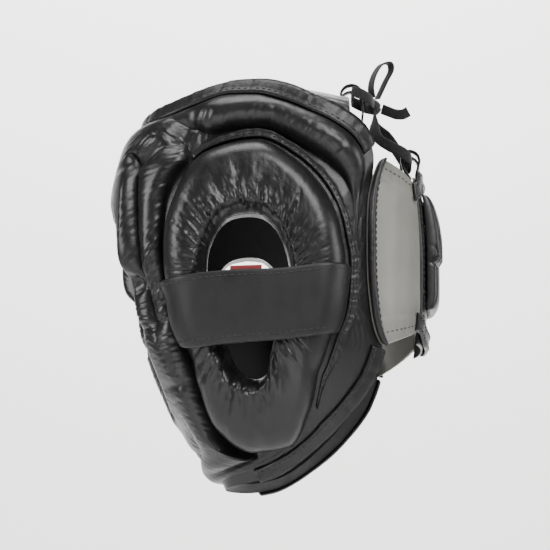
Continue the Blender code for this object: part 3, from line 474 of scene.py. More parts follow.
@dataclass(frozen=True)
class HeadForm:
    """The head-shaped form under the padding, a superellipse in plan at every drop."""

    depth: float = 0.240
    height: float = 0.290
    half_breadth: float = 0.088
    ear_axis: float = 0.020
    rear_squareness: float = 2.1
    # Columns: drop, front and back as shares of depth, half breadth as a share, squareness
    sections: tuple = (
        (-0.05, -0.190, 0.110, 0.38, 2.1),
        (-0.02, -0.270, 0.170, 0.54, 2.2),
        (0.01, -0.330, 0.225, 0.69, 2.3),
        (0.07, -0.395, 0.318, 0.83, 2.6),
        (0.17, -0.440, 0.392, 0.93, 3.1),
        (0.29, -0.463, 0.418, 0.98, 3.6),
        (0.41, -0.455, 0.426, 1.00, 3.8),
        (0.53, -0.405, 0.426, 1.00, 3.6),
        (0.64, -0.375, 0.414, 0.965, 3.2),
        (0.74, -0.330, 0.380, 0.88, 2.7),
        (0.84, -0.265, 0.330, 0.73, 2.4),
        (0.93, -0.200, 0.250, 0.53, 2.2),
        (1.03, -0.145, 0.150, 0.31, 2.1),
    )

    def section(self, drop: Array) -> tuple[Array, Array, Array, Array]:
        """Front, back and half breadth in metres, and squareness, at a drop."""
        table = np.array(self.sections)
        drop = np.asarray(drop, float)
        front, back, half, square = (curve_through(drop, table[:, 0], table[:, k]) for k in range(1, 5))
        return front * self.depth, back * self.depth, half * self.half_breadth, square

    def point(self, turn: Array, drop: Array) -> Array:
        """Point at a turn and drop: the superellipse's radius is its two shares' powers summed and rooted."""
        turn, drop = np.broadcast_arrays(np.radians(turn), np.asarray(drop, float))
        front, back, half, square = self.section(drop)
        ahead, aside = np.cos(turn), np.sin(turn)
        reach = np.where(ahead > 0, self.ear_axis - front, back - self.ear_axis)
        power = np.where(ahead > 0, square, self.rear_squareness)
        radius = ((np.abs(aside) / half) ** power + (np.abs(ahead) / reach) ** power) ** (-1 / power)
        return np.stack([radius * aside, self.ear_axis - radius * ahead, -drop * self.height], axis=-1)

    def normal(self, turn: Array, drop: Array) -> Array:
        """Outward normal, the cross product of the slopes down and along."""
        turn, drop = np.broadcast_arrays(np.asarray(turn, float), np.asarray(drop, float))
        along = self.point(turn + 0.5, drop) - self.point(turn - 0.5, drop)
        down = self.point(turn, drop + 0.002) - self.point(turn, drop - 0.002)
        normal = np.cross(down, along)
        return normal / np.linalg.norm(normal, axis=-1, keepdims=True)

    def lifted(self, turn: Array, drop: Array, height: Array) -> Array:
        """Point at a height above the form."""
        turn, drop, height = np.broadcast_arrays(turn, drop, height)
        return self.point(turn, drop) + self.normal(turn, drop) * height[..., None]

    def turn_beside(self, depth: Array, drop: Array) -> Array:
        """Turn of the point on the left side at a depth along Y, from the superellipse solved for breadth."""
        front, back, half, square = self.section(drop)
        depth = np.asarray(depth, float)
        reach = np.where(depth < self.ear_axis, self.ear_axis - front, back - self.ear_axis)
        power = np.where(depth < self.ear_axis, square, self.rear_squareness)
        share = np.clip(np.abs(depth - self.ear_axis) / reach, 0, 0.999)
        aside = half * (1 - share**power) ** (1 / power)
        return np.degrees(np.arctan2(aside, self.ear_axis - depth))

    def beside(self, depth: Array, drop: Array, height: Array) -> Array:
        """Point on the left side at a depth along Y, a drop and a height above the form."""
        return self.lifted(self.turn_beside(depth, drop), drop, height)


FORM = HeadForm()


@dataclass(frozen=True)
class Padding:
    """Where the shell's rolls, seams and edges run, and how high its padding rises between them."""

    wall: float = 0.012
    roll_rise: float = 0.0165
    seam_ease: float = 0.015
    land: float = 0.011
    # Columns: turn and drop of the face edge, temple seam, pad seam, side seam and rim, and the seams' strength
    stations: tuple = (
        (0, 0.325, 0, 0.235, 0.0, 0, 0.180, 0.0, 0, 0.128, 0.0, 0, 0.078),
        (7, 0.325, 8, 0.225, 0.0, 9, 0.170, 0.0, 9, 0.122, 0.0, 9, 0.077),
        (13, 0.330, 15, 0.200, 0.0, 18, 0.150, 0.0, 18, 0.115, 0.0, 18, 0.072),
        (17, 0.345, 20, 0.180, 0.1, 29, 0.145, 0.0, 29, 0.110, 0.0, 27, 0.064),
        (19, 0.365, 22.5, 0.190, 0.4, 38, 0.165, 0.7, 38, 0.122, 0.5, 37, 0.044),
        (20, 0.390, 24.5, 0.240, 0.8, 40, 0.205, 1.0, 46, 0.136, 1.0, 49, 0.028),
        (20, 0.420, 25.5, 0.300, 1.0, 37, 0.245, 1.0, 56, 0.126, 1.0, 62, 0.030),
        (19.5, 0.450, 26, 0.360, 1.0, 35, 0.305, 1.0, 67, 0.128, 1.0, 76, 0.044),
        (18.5, 0.480, 26.5, 0.430, 1.0, 34.5, 0.370, 1.0, 77, 0.152, 1.0, 90, 0.068),
        (17.5, 0.510, 25.5, 0.490, 1.0, 34, 0.435, 1.0, 88, 0.184, 1.0, 103, 0.098),
        (16.5, 0.540, 26, 0.540, 0.9, 33.5, 0.500, 1.0, 98, 0.220, 1.0, 114, 0.138),
        (16, 0.570, 27, 0.585, 0.6, 33, 0.560, 1.0, 106, 0.268, 0.9, 121, 0.204),
        (15.5, 0.600, 28, 0.620, 0.2, 34, 0.610, 1.0, 109, 0.330, 0.1, 119, 0.310),
        (15, 0.630, 28, 0.655, 0.0, 34.5, 0.655, 1.0, 109, 0.450, 0.0, 118, 0.440),
        (14.5, 0.660, 27.5, 0.690, 0.0, 35, 0.705, 1.0, 109, 0.560, 0.0, 119, 0.560),
        (13.5, 0.690, 27, 0.720, 0.0, 35, 0.755, 1.0, 109, 0.640, 0.1, 127, 0.655),
        (12, 0.715, 26, 0.750, 0.0, 34.5, 0.805, 1.0, 106, 0.715, 0.3, 124, 0.735),
        (10.5, 0.735, 24, 0.785, 0.0, 34, 0.855, 1.0, 102, 0.775, 0.8, 113, 0.822),
        (8.5, 0.750, 21.5, 0.820, 0.1, 37, 0.900, 1.0, 90, 0.860, 1.0, 98, 0.888),
        (6, 0.760, 18, 0.855, 0.4, 45, 0.925, 1.0, 72, 0.905, 1.0, 76, 0.940),
        (4, 0.765, 14, 0.880, 0.7, 36, 0.935, 0.8, 48, 0.938, 0.5, 50, 0.972),
        (2, 0.768, 7, 0.890, 0.8, 18, 0.945, 0.3, 24, 0.955, 0.1, 24, 0.985),
        (0, 0.770, 0, 0.892, 0.8, 0, 0.945, 0.0, 0, 0.965, 0.0, 0, 0.988),
    )
    # Columns: station, then rise of face roll, temple lobe, floor under the ear pad, side roll and rim
    rises: tuple = (
        (0, 1.00, 1.00, 1.00, 0.90, 0.35),
        (3, 1.05, 1.00, 0.95, 0.90, 0.50),
        (5, 1.05, 0.80, 0.00, 1.00, 0.65),
        (8, 1.10, 0.60, 0.00, 1.10, 0.75),
        (10, 1.05, 0.60, 0.00, 1.05, 0.60),
        (11, 0.98, 0.65, 0.00, 0.65, 0.16),
        (11.6, 0.95, 0.70, 0.00, 0.25, 0.02),
        (13, 0.90, 0.85, 0.00, 0.00, 0.00),
        (15, 0.85, 0.95, 0.00, 0.00, 0.00),
        (18, 0.80, 1.05, 0.00, 0.00, 0.00),
        (20, 0.70, 0.90, 0.15, 0.15, 0.10),
        (22, 0.70, 0.80, 0.80, 0.70, 0.20),
    )
    # Columns: turn, drop, long and wide as shares of height, lean in degrees, depth as a share of the rise
    dents: tuple = (
        (37, 0.150, 0.055, 0.022, 20, 0.70),
        (30, 0.190, 0.050, 0.016, 55, 0.30),
        (25, 0.205, 0.045, 0.014, 80, 0.25),
        (27, 0.600, 0.060, 0.014, 90, 0.20),
        (31, 0.735, 0.050, 0.014, 85, 0.12),
    )
    # Columns: turn, drop, reach along and across in mm, lean in degrees, spacing and depth in mm
    wrinkles: tuple = (
        (31, 0.160, 13, 11, 25, 4.2, 1.1),
        (25, 0.175, 9, 13, 60, 4.0, 0.8),
        (26, 0.230, 12, 11, 75, 3.8, 0.9),
        (42, 0.120, 12, 10, 15, 5.0, 0.9),
        (24, 0.605, 16, 17, 92, 4.4, 0.9),
        (29, 0.660, 14, 14, 80, 4.6, 0.6),
        (31, 0.800, 16, 24, 84, 5.5, 0.6),
        (20, 0.870, 18, 14, 60, 6.0, 0.5),
        (60, 0.925, 16, 12, 30, 5.0, 0.6),
        (112, 0.420, 34, 9, 2, 4.6, 0.6),
        (112, 0.600, 30, 9, -4, 4.2, 0.6),
        (70, 0.110, 14, 14, 5, 8.0, 0.35),
        (95, 0.170, 16, 14, -30, 7.0, 0.4),
        (0, 0.160, 20, 10, 90, 6.5, 0.3),
        (12, 0.300, 12, 12, 60, 5.0, 0.4),
    )

    def columns(self, place: Array) -> list[Array]:
        """Every column of the station table at places 0 to 22, smooth across the middle of the guard."""
        table = np.array(self.stations)
        sign = np.array([-1, 1, -1, 1, 1, -1, 1, 1, -1, 1, 1, -1, 1])
        table = np.concatenate([table[1:2] * sign, table, table[-2:-1] * sign])
        knots = np.arange(-1, len(self.stations) + 1)
        return [curve_through(place, knots, table[:, k]) for k in range(table.shape[1])]

    def levels(self, place: Array) -> list[Array]:
        """Rise of each band and of the rim, as shares of the roll's rise."""
        table = np.array(self.rises)
        return [curve_through(place, table[:, 0], table[:, k]) for k in range(1, 6)]

    def rows(self, place: Array, counts: tuple[int, ...]) -> tuple[Array, Array, Array]:
        """Turn, drop and band number along each station, from the face edge to the rim.

        Args:
            place: places along the stations.
            counts: steps in each of the five bands, the flat land at the rim being the last.

        Returns:
            Grids of turn and drop, and the band number of each column.
        """
        c = self.columns(place)
        turns = [c[0], c[2], c[5], c[8], c[11]]
        drops = [c[1], c[3], c[6], c[9], c[12]]
        run = np.linalg.norm(FORM.point(turns[4], drops[4]) - FORM.point(turns[3], drops[3]), axis=-1)
        share = np.clip(self.land / np.maximum(run, self.land), 0, 0.8)
        turns.insert(4, turns[4] + (turns[3] - turns[4]) * share)
        drops.insert(4, drops[4] + (drops[3] - drops[4]) * share)
        turn_parts, drop_parts, band_parts = [], [], []
        for band, count in enumerate(counts):
            steps = np.linspace(0, 1, count, endpoint=False)
            steps = 0.5 * steps + 0.5 * wave(steps)
            turn_parts.append(turns[band][:, None] + (turns[band + 1] - turns[band])[:, None] * steps)
            drop_parts.append(drops[band][:, None] + (drops[band + 1] - drops[band])[:, None] * steps)
            band_parts.append(band + steps)
        turn_parts.append(turns[-1][:, None])
        drop_parts.append(drops[-1][:, None])
        band_parts.append(np.array([len(counts)], float))
        return np.hstack(turn_parts), np.hstack(drop_parts), np.concatenate(band_parts)

    def height(self, place: Array, turn: Array, drop: Array, band: Array) -> Array:
        """Height of the padding above the form.

        The rise steps from level to level at the seams, falls to nothing in each seam by a quarter round,
        loses a bell-shaped share in each dent, and puckers across the seams as gathered leather does.
        """
        c = self.columns(place)
        levels = self.levels(place)
        points = FORM.point(turn, drop)
        run = np.linalg.norm(np.diff(points, axis=1), axis=-1)
        along = np.hstack([np.zeros((len(place), 1)), np.cumsum(run, axis=1)])
        seams = [c[4], c[7], c[10]]
        rise = levels[0][:, None] + np.zeros_like(turn)
        for number, strength in enumerate(seams, start=1):
            blend = (0.5 - 0.49 * strength)[:, None]
            rise = rise + (levels[number] - levels[number - 1])[:, None] * wave((band - number) / (2 * blend) + 0.5)
        pucker = np.zeros_like(turn)
        for number, strength in enumerate([np.ones_like(place), *seams]):
            at = int(np.argmin(np.abs(band - number)))
            away = np.abs(along - along[:, at : at + 1])
            rise = rise * (1 - strength[:, None] * (1 - puff(away / self.seam_ease)))
            gather = ripple(place * 9.5 + number * 1.7, 2.0 + number)[:, None]
            reach = 0.010 + 0.004 * ripple(place * 3.1, 5.0)[:, None]
            pucker = pucker + strength[:, None] * gather * np.exp(-((away / reach) ** 2)) * puff(away / 0.004)
        rim = levels[4][:, None]
        at = int(np.argmin(np.abs(band - 4)))
        rise = rim + (rise - rim) * puff(np.abs(along - along[:, at : at + 1]) / self.seam_ease)
        rise = np.where(band[None, :] > 4, rim, rise)
        for turn_at, drop_at, long, wide, lean, depth in self.dents:
            far, across = self.local(points, turn_at, drop_at, lean)
            bell = np.exp(-((far / (long * FORM.height)) ** 2) - (across / (wide * FORM.height)) ** 2)
            rise = rise * (1 - depth * bell)
        height = rise * self.roll_rise
        padded = wave(rise / 0.35) * (band[None, :] < 4)
        height = height + 0.00055 * pucker * padded
        for turn_at, drop_at, long, wide, lean, space, depth in self.wrinkles:
            far, across = self.local(points, turn_at, drop_at, lean)
            bell = np.exp(-((far / (long / 1000)) ** 2) - (across / (wide / 1000)) ** 2)
            bent = across * 1000 / space + 0.35 * ripple(far * 260, turn_at) + 0.2 * ripple(far * 90, drop_at * 9)
            height = height - depth / 1000 * bell * crease(bent)
        swell = ripple(points[..., 1] * 62, 1.0) * ripple(points[..., 2] * 55, 4.0)
        return height + 0.0006 * swell * padded

    def local(self, points: Array, turn: float, drop: float, lean: float) -> tuple[Array, Array]:
        """Distances of points along and across a line through a place, leaning from upright."""
        outward_at = FORM.normal(turn, drop)
        upward = np.array([0.0, 0.0, 1.0]) - outward_at * outward_at[2]
        upward = upward / np.linalg.norm(upward)
        forward = np.cross(outward_at, upward)
        angle = math.radians(lean)
        offset = points - FORM.point(turn, drop)
        axis = upward * math.cos(angle) - forward * math.sin(angle)
        cross = upward * math.sin(angle) + forward * math.cos(angle)
        away = np.exp(-((offset @ outward_at) / 0.05) ** 2)
        return offset @ axis + (1 - away) * 0.2, offset @ cross


PADDING = Padding()


@dataclass(frozen=True)
class PadOutline:
    """Outline and hole of an ear pad, seen from the side."""

    height: float = 0.218
    middle_depth: float = -0.083
    middle_drop: float = 0.545
    thickness: float = 0.021
    edge: float = 0.019
    gap: float = 0.0012
    hole_ease: float = 0.006
    # Columns: clock angle in degrees, outer and hole radius as shares of height
    clock: tuple = (
        (0, 0.507, 0.262),
        (15, 0.464, 0.228),
        (30, 0.415, 0.180),
        (45, 0.364, 0.146),
        (60, 0.321, 0.124),
        (90, 0.280, 0.101),
        (115, 0.276, 0.106),
        (140, 0.318, 0.115),
        (155, 0.410, 0.142),
        (167, 0.486, 0.200),
        (173, 0.489, 0.262),
        (180, 0.488, 0.276),
        (192, 0.440, 0.258),
        (210, 0.332, 0.196),
        (232, 0.262, 0.172),
        (264, 0.261, 0.161),
        (292, 0.314, 0.178),
        (318, 0.405, 0.226),
        (342, 0.497, 0.268),
    )

    def radii(self, clock: Array) -> tuple[Array, Array]:
        """Outer and hole radius at clock angles, 0 up and 90 backwards."""
        table = np.array(self.clock)
        table = np.concatenate([table[-1:] - [360, 0, 0], table, table[:2] + [360, 0, 0]])
        clock = np.mod(clock, 360)
        outer, hole = (curve_through(clock, table[:, 0], table[:, k]) * self.height for k in (1, 2))
        return outer, hole

    def place(self, clock: Array, radius: Array) -> tuple[Array, Array, Array]:
        """Turn, drop and depth along Y of a point at a clock angle and radius."""
        angle = np.radians(clock)
        depth = self.middle_depth * FORM.depth + radius * np.sin(angle)
        drop = self.middle_drop - radius * np.cos(angle) / FORM.height
        return FORM.turn_beside(depth, drop), drop, depth

    def clock_at(self, rise: float, first: float, last: float) -> float:
        """Clock angle between two limits where the outer edge is at a height above the middle."""
        clock = np.linspace(first, last, 561)
        outer, _ = self.radii(clock)
        return float(clock[int(np.argmin(np.abs(outer * np.cos(np.radians(clock)) - rise)))])


PAD = PadOutline()


# Stitching


@dataclass
class StitchRow:
    """A row of lockstitches along lines on the surface."""

    name: str
    length: float = 0.0034
    gap: float = 0.0011
    radius: float = 0.00042
    rings: int = 5
    sides: int = 6

    def build(self, lines: list[tuple[Array, Array]], finishes: Finishes, slot: str) -> bpy.types.Object:
        """Small bent capsules along each line, sunk at their ends.

        Args:
            lines: points and outward normals of each line.
            finishes: the guard's finishes.
            slot: not used.

        Returns:
            One piece that holds every stitch.
        """
        shapes = [self.stitches(points, normals) for points, normals in lines]
        loops = np.concatenate(shapes)
        count = len(loops)
        each = self.rings * self.sides
        numbers = np.arange(each).reshape(self.rings, self.sides)
        body = grid_quads(np.concatenate([numbers, numbers[:, :1]], axis=1))
        ends = np.array([row[[a, b, c, d]] for row in (numbers[0], numbers[-1][::-1]) for a, b, c, d in ((3, 2, 1, 0), (5, 4, 3, 0))])
        cell = np.concatenate([body, ends])
        first = loops[0].reshape(-1, 3)
        cell = outward(first, cell)
        quads = (cell[None] + np.arange(count)[:, None, None] * each).reshape(-1, 4)
        piece = mesh_from_quads(self.name, loops.reshape(-1, 3), quads)
        return dress(piece, finishes.thread, ())

    def stitches(self, points: Array, normals: Array) -> Array:
        """Rings of each stitch along one line: position, then ring, then side."""
        run = np.concatenate([[0.0], np.cumsum(np.linalg.norm(np.diff(points, axis=0), axis=1))])
        pitch = self.length + self.gap
        count = max(1, int((run[-1] - self.gap) / pitch))
        middle = (np.arange(count) + 0.5) * run[-1] / count
        share = np.cos(np.linspace(math.pi, 0, self.rings))
        at = middle[:, None] + share * self.length / 2
        spine = np.stack([np.interp(at, run, points[:, k]) for k in range(3)], axis=-1)
        up = np.stack([np.interp(at, run, normals[:, k]) for k in range(3)], axis=-1)
        up = up / np.linalg.norm(up, axis=-1, keepdims=True)
        along = spine[:, -1:] - spine[:, :1]
        along = along / np.linalg.norm(along, axis=-1, keepdims=True)
        aside = np.cross(up, along)
        spine = spine + up * (self.radius * (0.75 - 1.3 * share**2))[None, :, None]
        girth = self.radius * np.maximum(np.sqrt(1 - share**2), 0.12) ** 0.7
        angle = np.linspace(0, 2 * math.pi, self.sides, endpoint=False)
        offset = up[:, :, None] * np.cos(angle)[:, None] + aside[:, :, None] * np.sin(angle)[:, None]
        return spine[:, :, None] + offset * girth[None, :, None, None]


def line_on(form_turn: Array, form_drop: Array, height: Array, side: Side = Side.LEFT) -> tuple[Array, Array]:
    """Points and outward normals of a line on the form at a height, on either side."""
    turn, drop, height = np.broadcast_arrays(form_turn, form_drop, height)
    return mirrored(FORM.lifted(turn, drop, height), side), mirrored(FORM.normal(turn, drop), side)


# Pieces


@dataclass
class PaddedShell:
    """The padded body: one closed shell with rolls, seams, an ear opening each side and a lining."""

    steps: int = 14
    outer_counts: tuple[int, ...] = (26, 22, 16, 26, 8)
    inner_counts: tuple[int, ...] = (7, 4, 7, 5, 5)

    def build(self, finishes: Finishes) -> bpy.types.Object:
        """Skin the rows of padding and lining, then cut the ear openings."""
        last = len(PADDING.stations) - 1
        place = np.linspace(0, last, last * self.steps + 1)
        turn, drop, band = PADDING.rows(place, self.outer_counts)
        outer = FORM.lifted(turn, drop, PADDING.height(place, turn, drop, band))
        turn, drop, band = PADDING.rows(place, self.inner_counts)
        flare = PADDING.levels(place)[4][:, None] * wave((band - 3) / 1.5) * PADDING.roll_rise
        inner = FORM.lifted(turn, drop, flare - PADDING.wall)
        half = np.concatenate([outer, inner[:, ::-1]], axis=1)
        loops = np.concatenate([half, mirrored(half[-2:0:-1], Side.RIGHT)])
        shell = tube_piece("padded_shell_skin", loops, ring=True)
        columns = half.shape[1]
        lined = np.arange(columns) >= outer.shape[1] - 1
        index = np.tile(lined.astype(np.int32), len(loops))
        shell.data.materials.append(finishes.padded)
        shell.data.materials.append(finishes.lining)
        shell.data.polygons.foreach_set("material_index", index)
        self.cut_ears(shell)
        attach(shell, "root")
        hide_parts("padded_shell")
        log.info("%s: %d faces", shell.name, len(shell.data.polygons))
        return shell

    def cut_ears(self, shell: bpy.types.Object) -> None:
        """Cut both ear openings with one bar whose outline is the ear pad's hole."""
        clock = np.linspace(0, 360, 96, endpoint=False)
        _, hole = PAD.radii(clock)
        y = PAD.middle_depth * FORM.depth + hole * np.sin(np.radians(clock))
        z = -PAD.middle_drop * FORM.height + hole * np.cos(np.radians(clock))
        reach = FORM.half_breadth * 1.4
        bar = np.stack([np.stack([np.full(y.shape, x), y, z], axis=-1) for x in (-reach, reach)])
        cutter = tube_piece("ear_bar", bar)
        cut = shell.modifiers.new("ear openings", "BOOLEAN")
        cut.operation = "DIFFERENCE"
        cut.solver = "EXACT"
        cut.object = cutter
        bpy.context.view_layer.update()
        made = bpy.data.meshes.new_from_object(shell.evaluated_get(bpy.context.evaluated_depsgraph_get()))
        shell.modifiers.clear()
        shell.data = made
        shell.data.shade_smooth()
        shell.data.set_sharp_from_angle(angle=math.radians(60))
        bpy.data.objects.remove(cutter)


@dataclass
class EarPad:
    """An oval pad whose leather is gathered into its hole, with deep folds at the bottom."""

    side: Side
    around: int = 432
    top_steps: int = 72
    bottom_steps: int = 6
    strap_pinch: float = 0.12
    # Columns: clock angle, half width in degrees, reach from the hole and depth in mm of the deep folds
    folds: tuple = (
        (163, 2.2, 26, 3.6),
        (171, 1.7, 34, 3.4),
        (178, 1.5, 40, 3.8),
        (184, 1.6, 36, 3.0),
        (191, 1.8, 30, 3.6),
        (199, 2.4, 20, 2.2),
        (152, 3.0, 14, 2.4),
        (340, 1.6, 22, 2.0),
        (352, 1.4, 26, 2.2),
        (4, 1.4, 20, 1.8),
        (17, 1.5, 24, 2.1),
        (31, 1.8, 18, 1.7),
    )

    def build(self, finishes: Finishes) -> bpy.types.Object:
        """Skin the pad: up from the hole, over the top, down the outer edge and back below."""
        clock = np.linspace(0, 360, self.around, endpoint=False)[:, None]
        outer, hole = PAD.radii(clock)
        share = np.concatenate([spread(self.top_steps), np.linspace(1, 0, self.bottom_steps + 2)[1:-1]])
        radial = outer - hole
        turn, drop, depth = PAD.place(clock, hole + radial * share)
        top = share[: self.top_steps]
        height = PAD.thickness * puff((1 - top) * radial / PAD.edge) * puff(top * radial / PAD.hole_ease)
        height = height * (1 - self.strap_pinch * self.under_strap(depth, drop)[:, : self.top_steps])
        height = height * (1 - self.gathers(clock, top * radial)) - self.deep_folds(clock, top * radial)
        floor = PAD.thickness * 0.30 * puff((1 - top) * radial / PAD.edge) * puff(top * radial / 0.002)
        height = np.maximum(height, np.minimum(floor, PAD.thickness))
        under = np.zeros((self.around, self.bottom_steps))
        loops = FORM.lifted(turn, drop, np.hstack([height, under]) + PAD.gap)
        name = "ear_pad_" + self.side.word
        pad = tube_piece(name + "_skin", mirrored(loops, self.side), ring=True)
        dress(pad, finishes.padded, (name,))
        return pad

    def under_strap(self, depth: Array, drop: Array) -> Array:
        """Share of the band's squeeze: a bell across the band."""
        top, bottom = EarStrap.drops(depth)
        return np.exp(-(((drop - (top + bottom) / 2) / (bottom - top)) ** 2) * 4)

    def gathers(self, clock: Array, away: Array) -> Array:
        """Share of height lost in the fine gathers that run out from the hole.

        Each gather is a valley between two bulges. Their spacing wanders with the clock angle, and each
        reaches a length of its own.
        """
        angle = np.radians(clock)
        phase = 25 * clock / 180 + 0.55 * ripple(3 * angle, 1.0) + 0.16 * ripple(away * 240 + clock, 2.0)
        length = 0.014 + 0.006 * ripple(11 * angle, 3.0)
        upper = 0.45 + 0.55 * np.cos(angle) ** 2
        fine = 0.20 * crease(phase) * np.exp(-((away / np.maximum(length, 0.006)) ** 1.6))
        finer = 0.05 * crease(phase * 2.37) * np.exp(-((away / 0.024) ** 2))
        broad = 0.035 * ripple(8 * angle, 6.0) * np.exp(-((away / 0.026) ** 2))
        return (fine + finer + broad) * upper

    def deep_folds(self, clock: Array, away: Array) -> Array:
        """Depth of the deep folds: a bell across each one, fading out along it."""
        total = np.zeros(np.broadcast(clock, away).shape)
        for at, half, reach, depth in self.folds:
            off = (clock - at + 180) % 360 - 180 + 0.25 * half * ripple(away * 150, at)
            wide = half * (1 + away / 0.03)
            total = total + depth / 1000 * np.exp(-((off / wide) ** 2)) * np.exp(-((away / (reach / 1000)) ** 3))
        return total


@dataclass
class EarStrap:
    """The flat stitched band over an ear pad."""

    side: Side
    thickness: float = 0.0022
    clear: float = 0.0012
    across: int = 31
    along: int = 120
    inset: float = 0.0042

    @staticmethod
    def drops(depth: Array) -> tuple[Array, Array]:
        """Drop of the band's top and bottom edges at a depth along Y; they rise towards the back."""
        lean = 0.020 * wave((depth / FORM.depth + 0.05) / 0.25)
        return 0.500 - lean, 0.660 - lean * 0.8

    def line(self, share: float, lift: float, count: int) -> tuple[Array, Array, Array]:
        """Depth, drop and height of points along the band at a share across it.

        The ends follow a quarter ellipse down the pad's edge, and the middle runs straight across.
        """
        drop = 0.500 + 0.160 * share
        front_clock = PAD.clock_at((PAD.middle_drop - drop) * FORM.height, 200, 340)
        rear_clock = PAD.clock_at((PAD.middle_drop - drop + 0.018) * FORM.height, 20, 160)
        ends = [PAD.middle_depth * FORM.depth + PAD.radii(np.array(c))[0] * math.sin(math.radians(c)) for c in (front_clock, rear_clock)]
        s = np.linspace(0, 1, count)
        bend = 0.24
        swing = np.clip(np.minimum(s, 1 - s) / bend, 0, 1) * math.pi / 2
        edge = PAD.edge + lift
        climb = np.sin(swing)
        inward = edge * (1 - np.cos(swing)) - lift
        straight = (s - bend) / (1 - 2 * bend)
        front = ends[0] + inward
        rear = ends[1] - inward
        low, high = ends[0] + edge - lift, ends[1] - edge + lift
        depth = np.where(s < bend, front, np.where(s > 1 - bend, rear, low + (high - low) * np.clip(straight, 0, 1)))
        top, bottom = self.drops(depth)
        here = top + (bottom - top) * share
        return depth, here, np.maximum((PAD.thickness + PAD.gap + lift) * climb, PAD.gap + lift)

    def build(self, finishes: Finishes) -> bpy.types.Object:
        """Band with rounded edges and a faint hollow across its middle."""
        shares = spread(self.across)
        upper, lower = [], []
        for share in shares:
            rim = float(round_edge(np.array(share), 0.035))
            hollow = 0.0006 * math.sin(math.pi * share) ** 2
            depth, drop, height = self.line(share, self.clear + self.thickness * rim - hollow, self.along)
            wobble = 0.00025 * ripple(depth * 170, 3.0) * math.sin(math.pi * share)
            upper.append(FORM.beside(depth, drop, height + wobble))
            depth, drop, height = self.line(share, self.clear, self.along)
            lower.append(FORM.beside(depth, drop, height))
        name = "ear_strap_" + self.side.word
        top, bottom = (mirrored(np.stack(x, axis=1), self.side) for x in (upper, lower))
        strap = plate_piece(name + "_skin", top, bottom)
        return dress(strap, finishes.strap, (name,))

    def stitch_lines(self) -> list[tuple[Array, Array]]:
        """Lines a little inside both long edges."""
        width = 0.160 * FORM.height
        lines = []
        for share in (self.inset / width, 1 - self.inset / width):
            depth, drop, height = self.line(share, self.clear + self.thickness, 90)
            turn = FORM.turn_beside(depth, drop)
            lines.append(line_on(turn, drop, height, self.side))
        return lines


@dataclass
class EarFlange:
    """The stitched leather flange behind and above an ear pad."""

    side: Side
    width: float = 0.0065
    thickness: float = 0.0022
    gap: float = 0.0038
    lift: float = 0.0010
    first: float = -25.0
    last: float = 152.0

    def radius(self, clock: Array, share: Array) -> Array:
        """Radius at a share across the flange; it narrows to its ends."""
        outer, _ = PAD.radii(clock)
        span = (clock - self.first) / (self.last - self.first)
        taper = np.sqrt(np.clip(np.minimum(span, 1 - span) * 7 + 0.15, 0, 1))
        flutter = 0.0005 * ripple(clock * 0.35, 2.0)
        return outer + self.gap + (self.width * taper + flutter) * share

    def build(self, finishes: Finishes) -> bpy.types.Object:
        """Strip with a rolled outer edge and slight flutes where its leather is eased round the curve."""
        clock = np.linspace(self.first, self.last, 260)[:, None]
        share = spread(13)[None, :]
        turn, drop, _ = PAD.place(clock, self.radius(clock, share))
        flutes = 0.0004 * ripple(clock * 0.8, 4.0) * share
        roll = 0.0009 * np.exp(-(((share - 0.86) / 0.16) ** 2))
        ends = round_edge((clock - self.first) / (self.last - self.first), 0.01)
        rise = (self.thickness + flutes + roll) * round_edge(share, 0.12) * ends
        upper = mirrored(FORM.lifted(turn, drop, self.lift + rise), self.side)
        lower = mirrored(FORM.lifted(turn, drop, self.lift + 0 * rise), self.side)
        name = "ear_flange_" + self.side.word
        return dress(plate_piece(name + "_skin", upper, lower), finishes.trim, (name,))

    def stitch_line(self) -> tuple[Array, Array]:
        """Line along the middle of the flange."""
        clock = np.linspace(self.first + 4, self.last - 6, 240)
        turn, drop, _ = PAD.place(clock, self.radius(clock, np.array(0.42)))
        return line_on(turn, drop, self.lift + self.thickness, self.side)


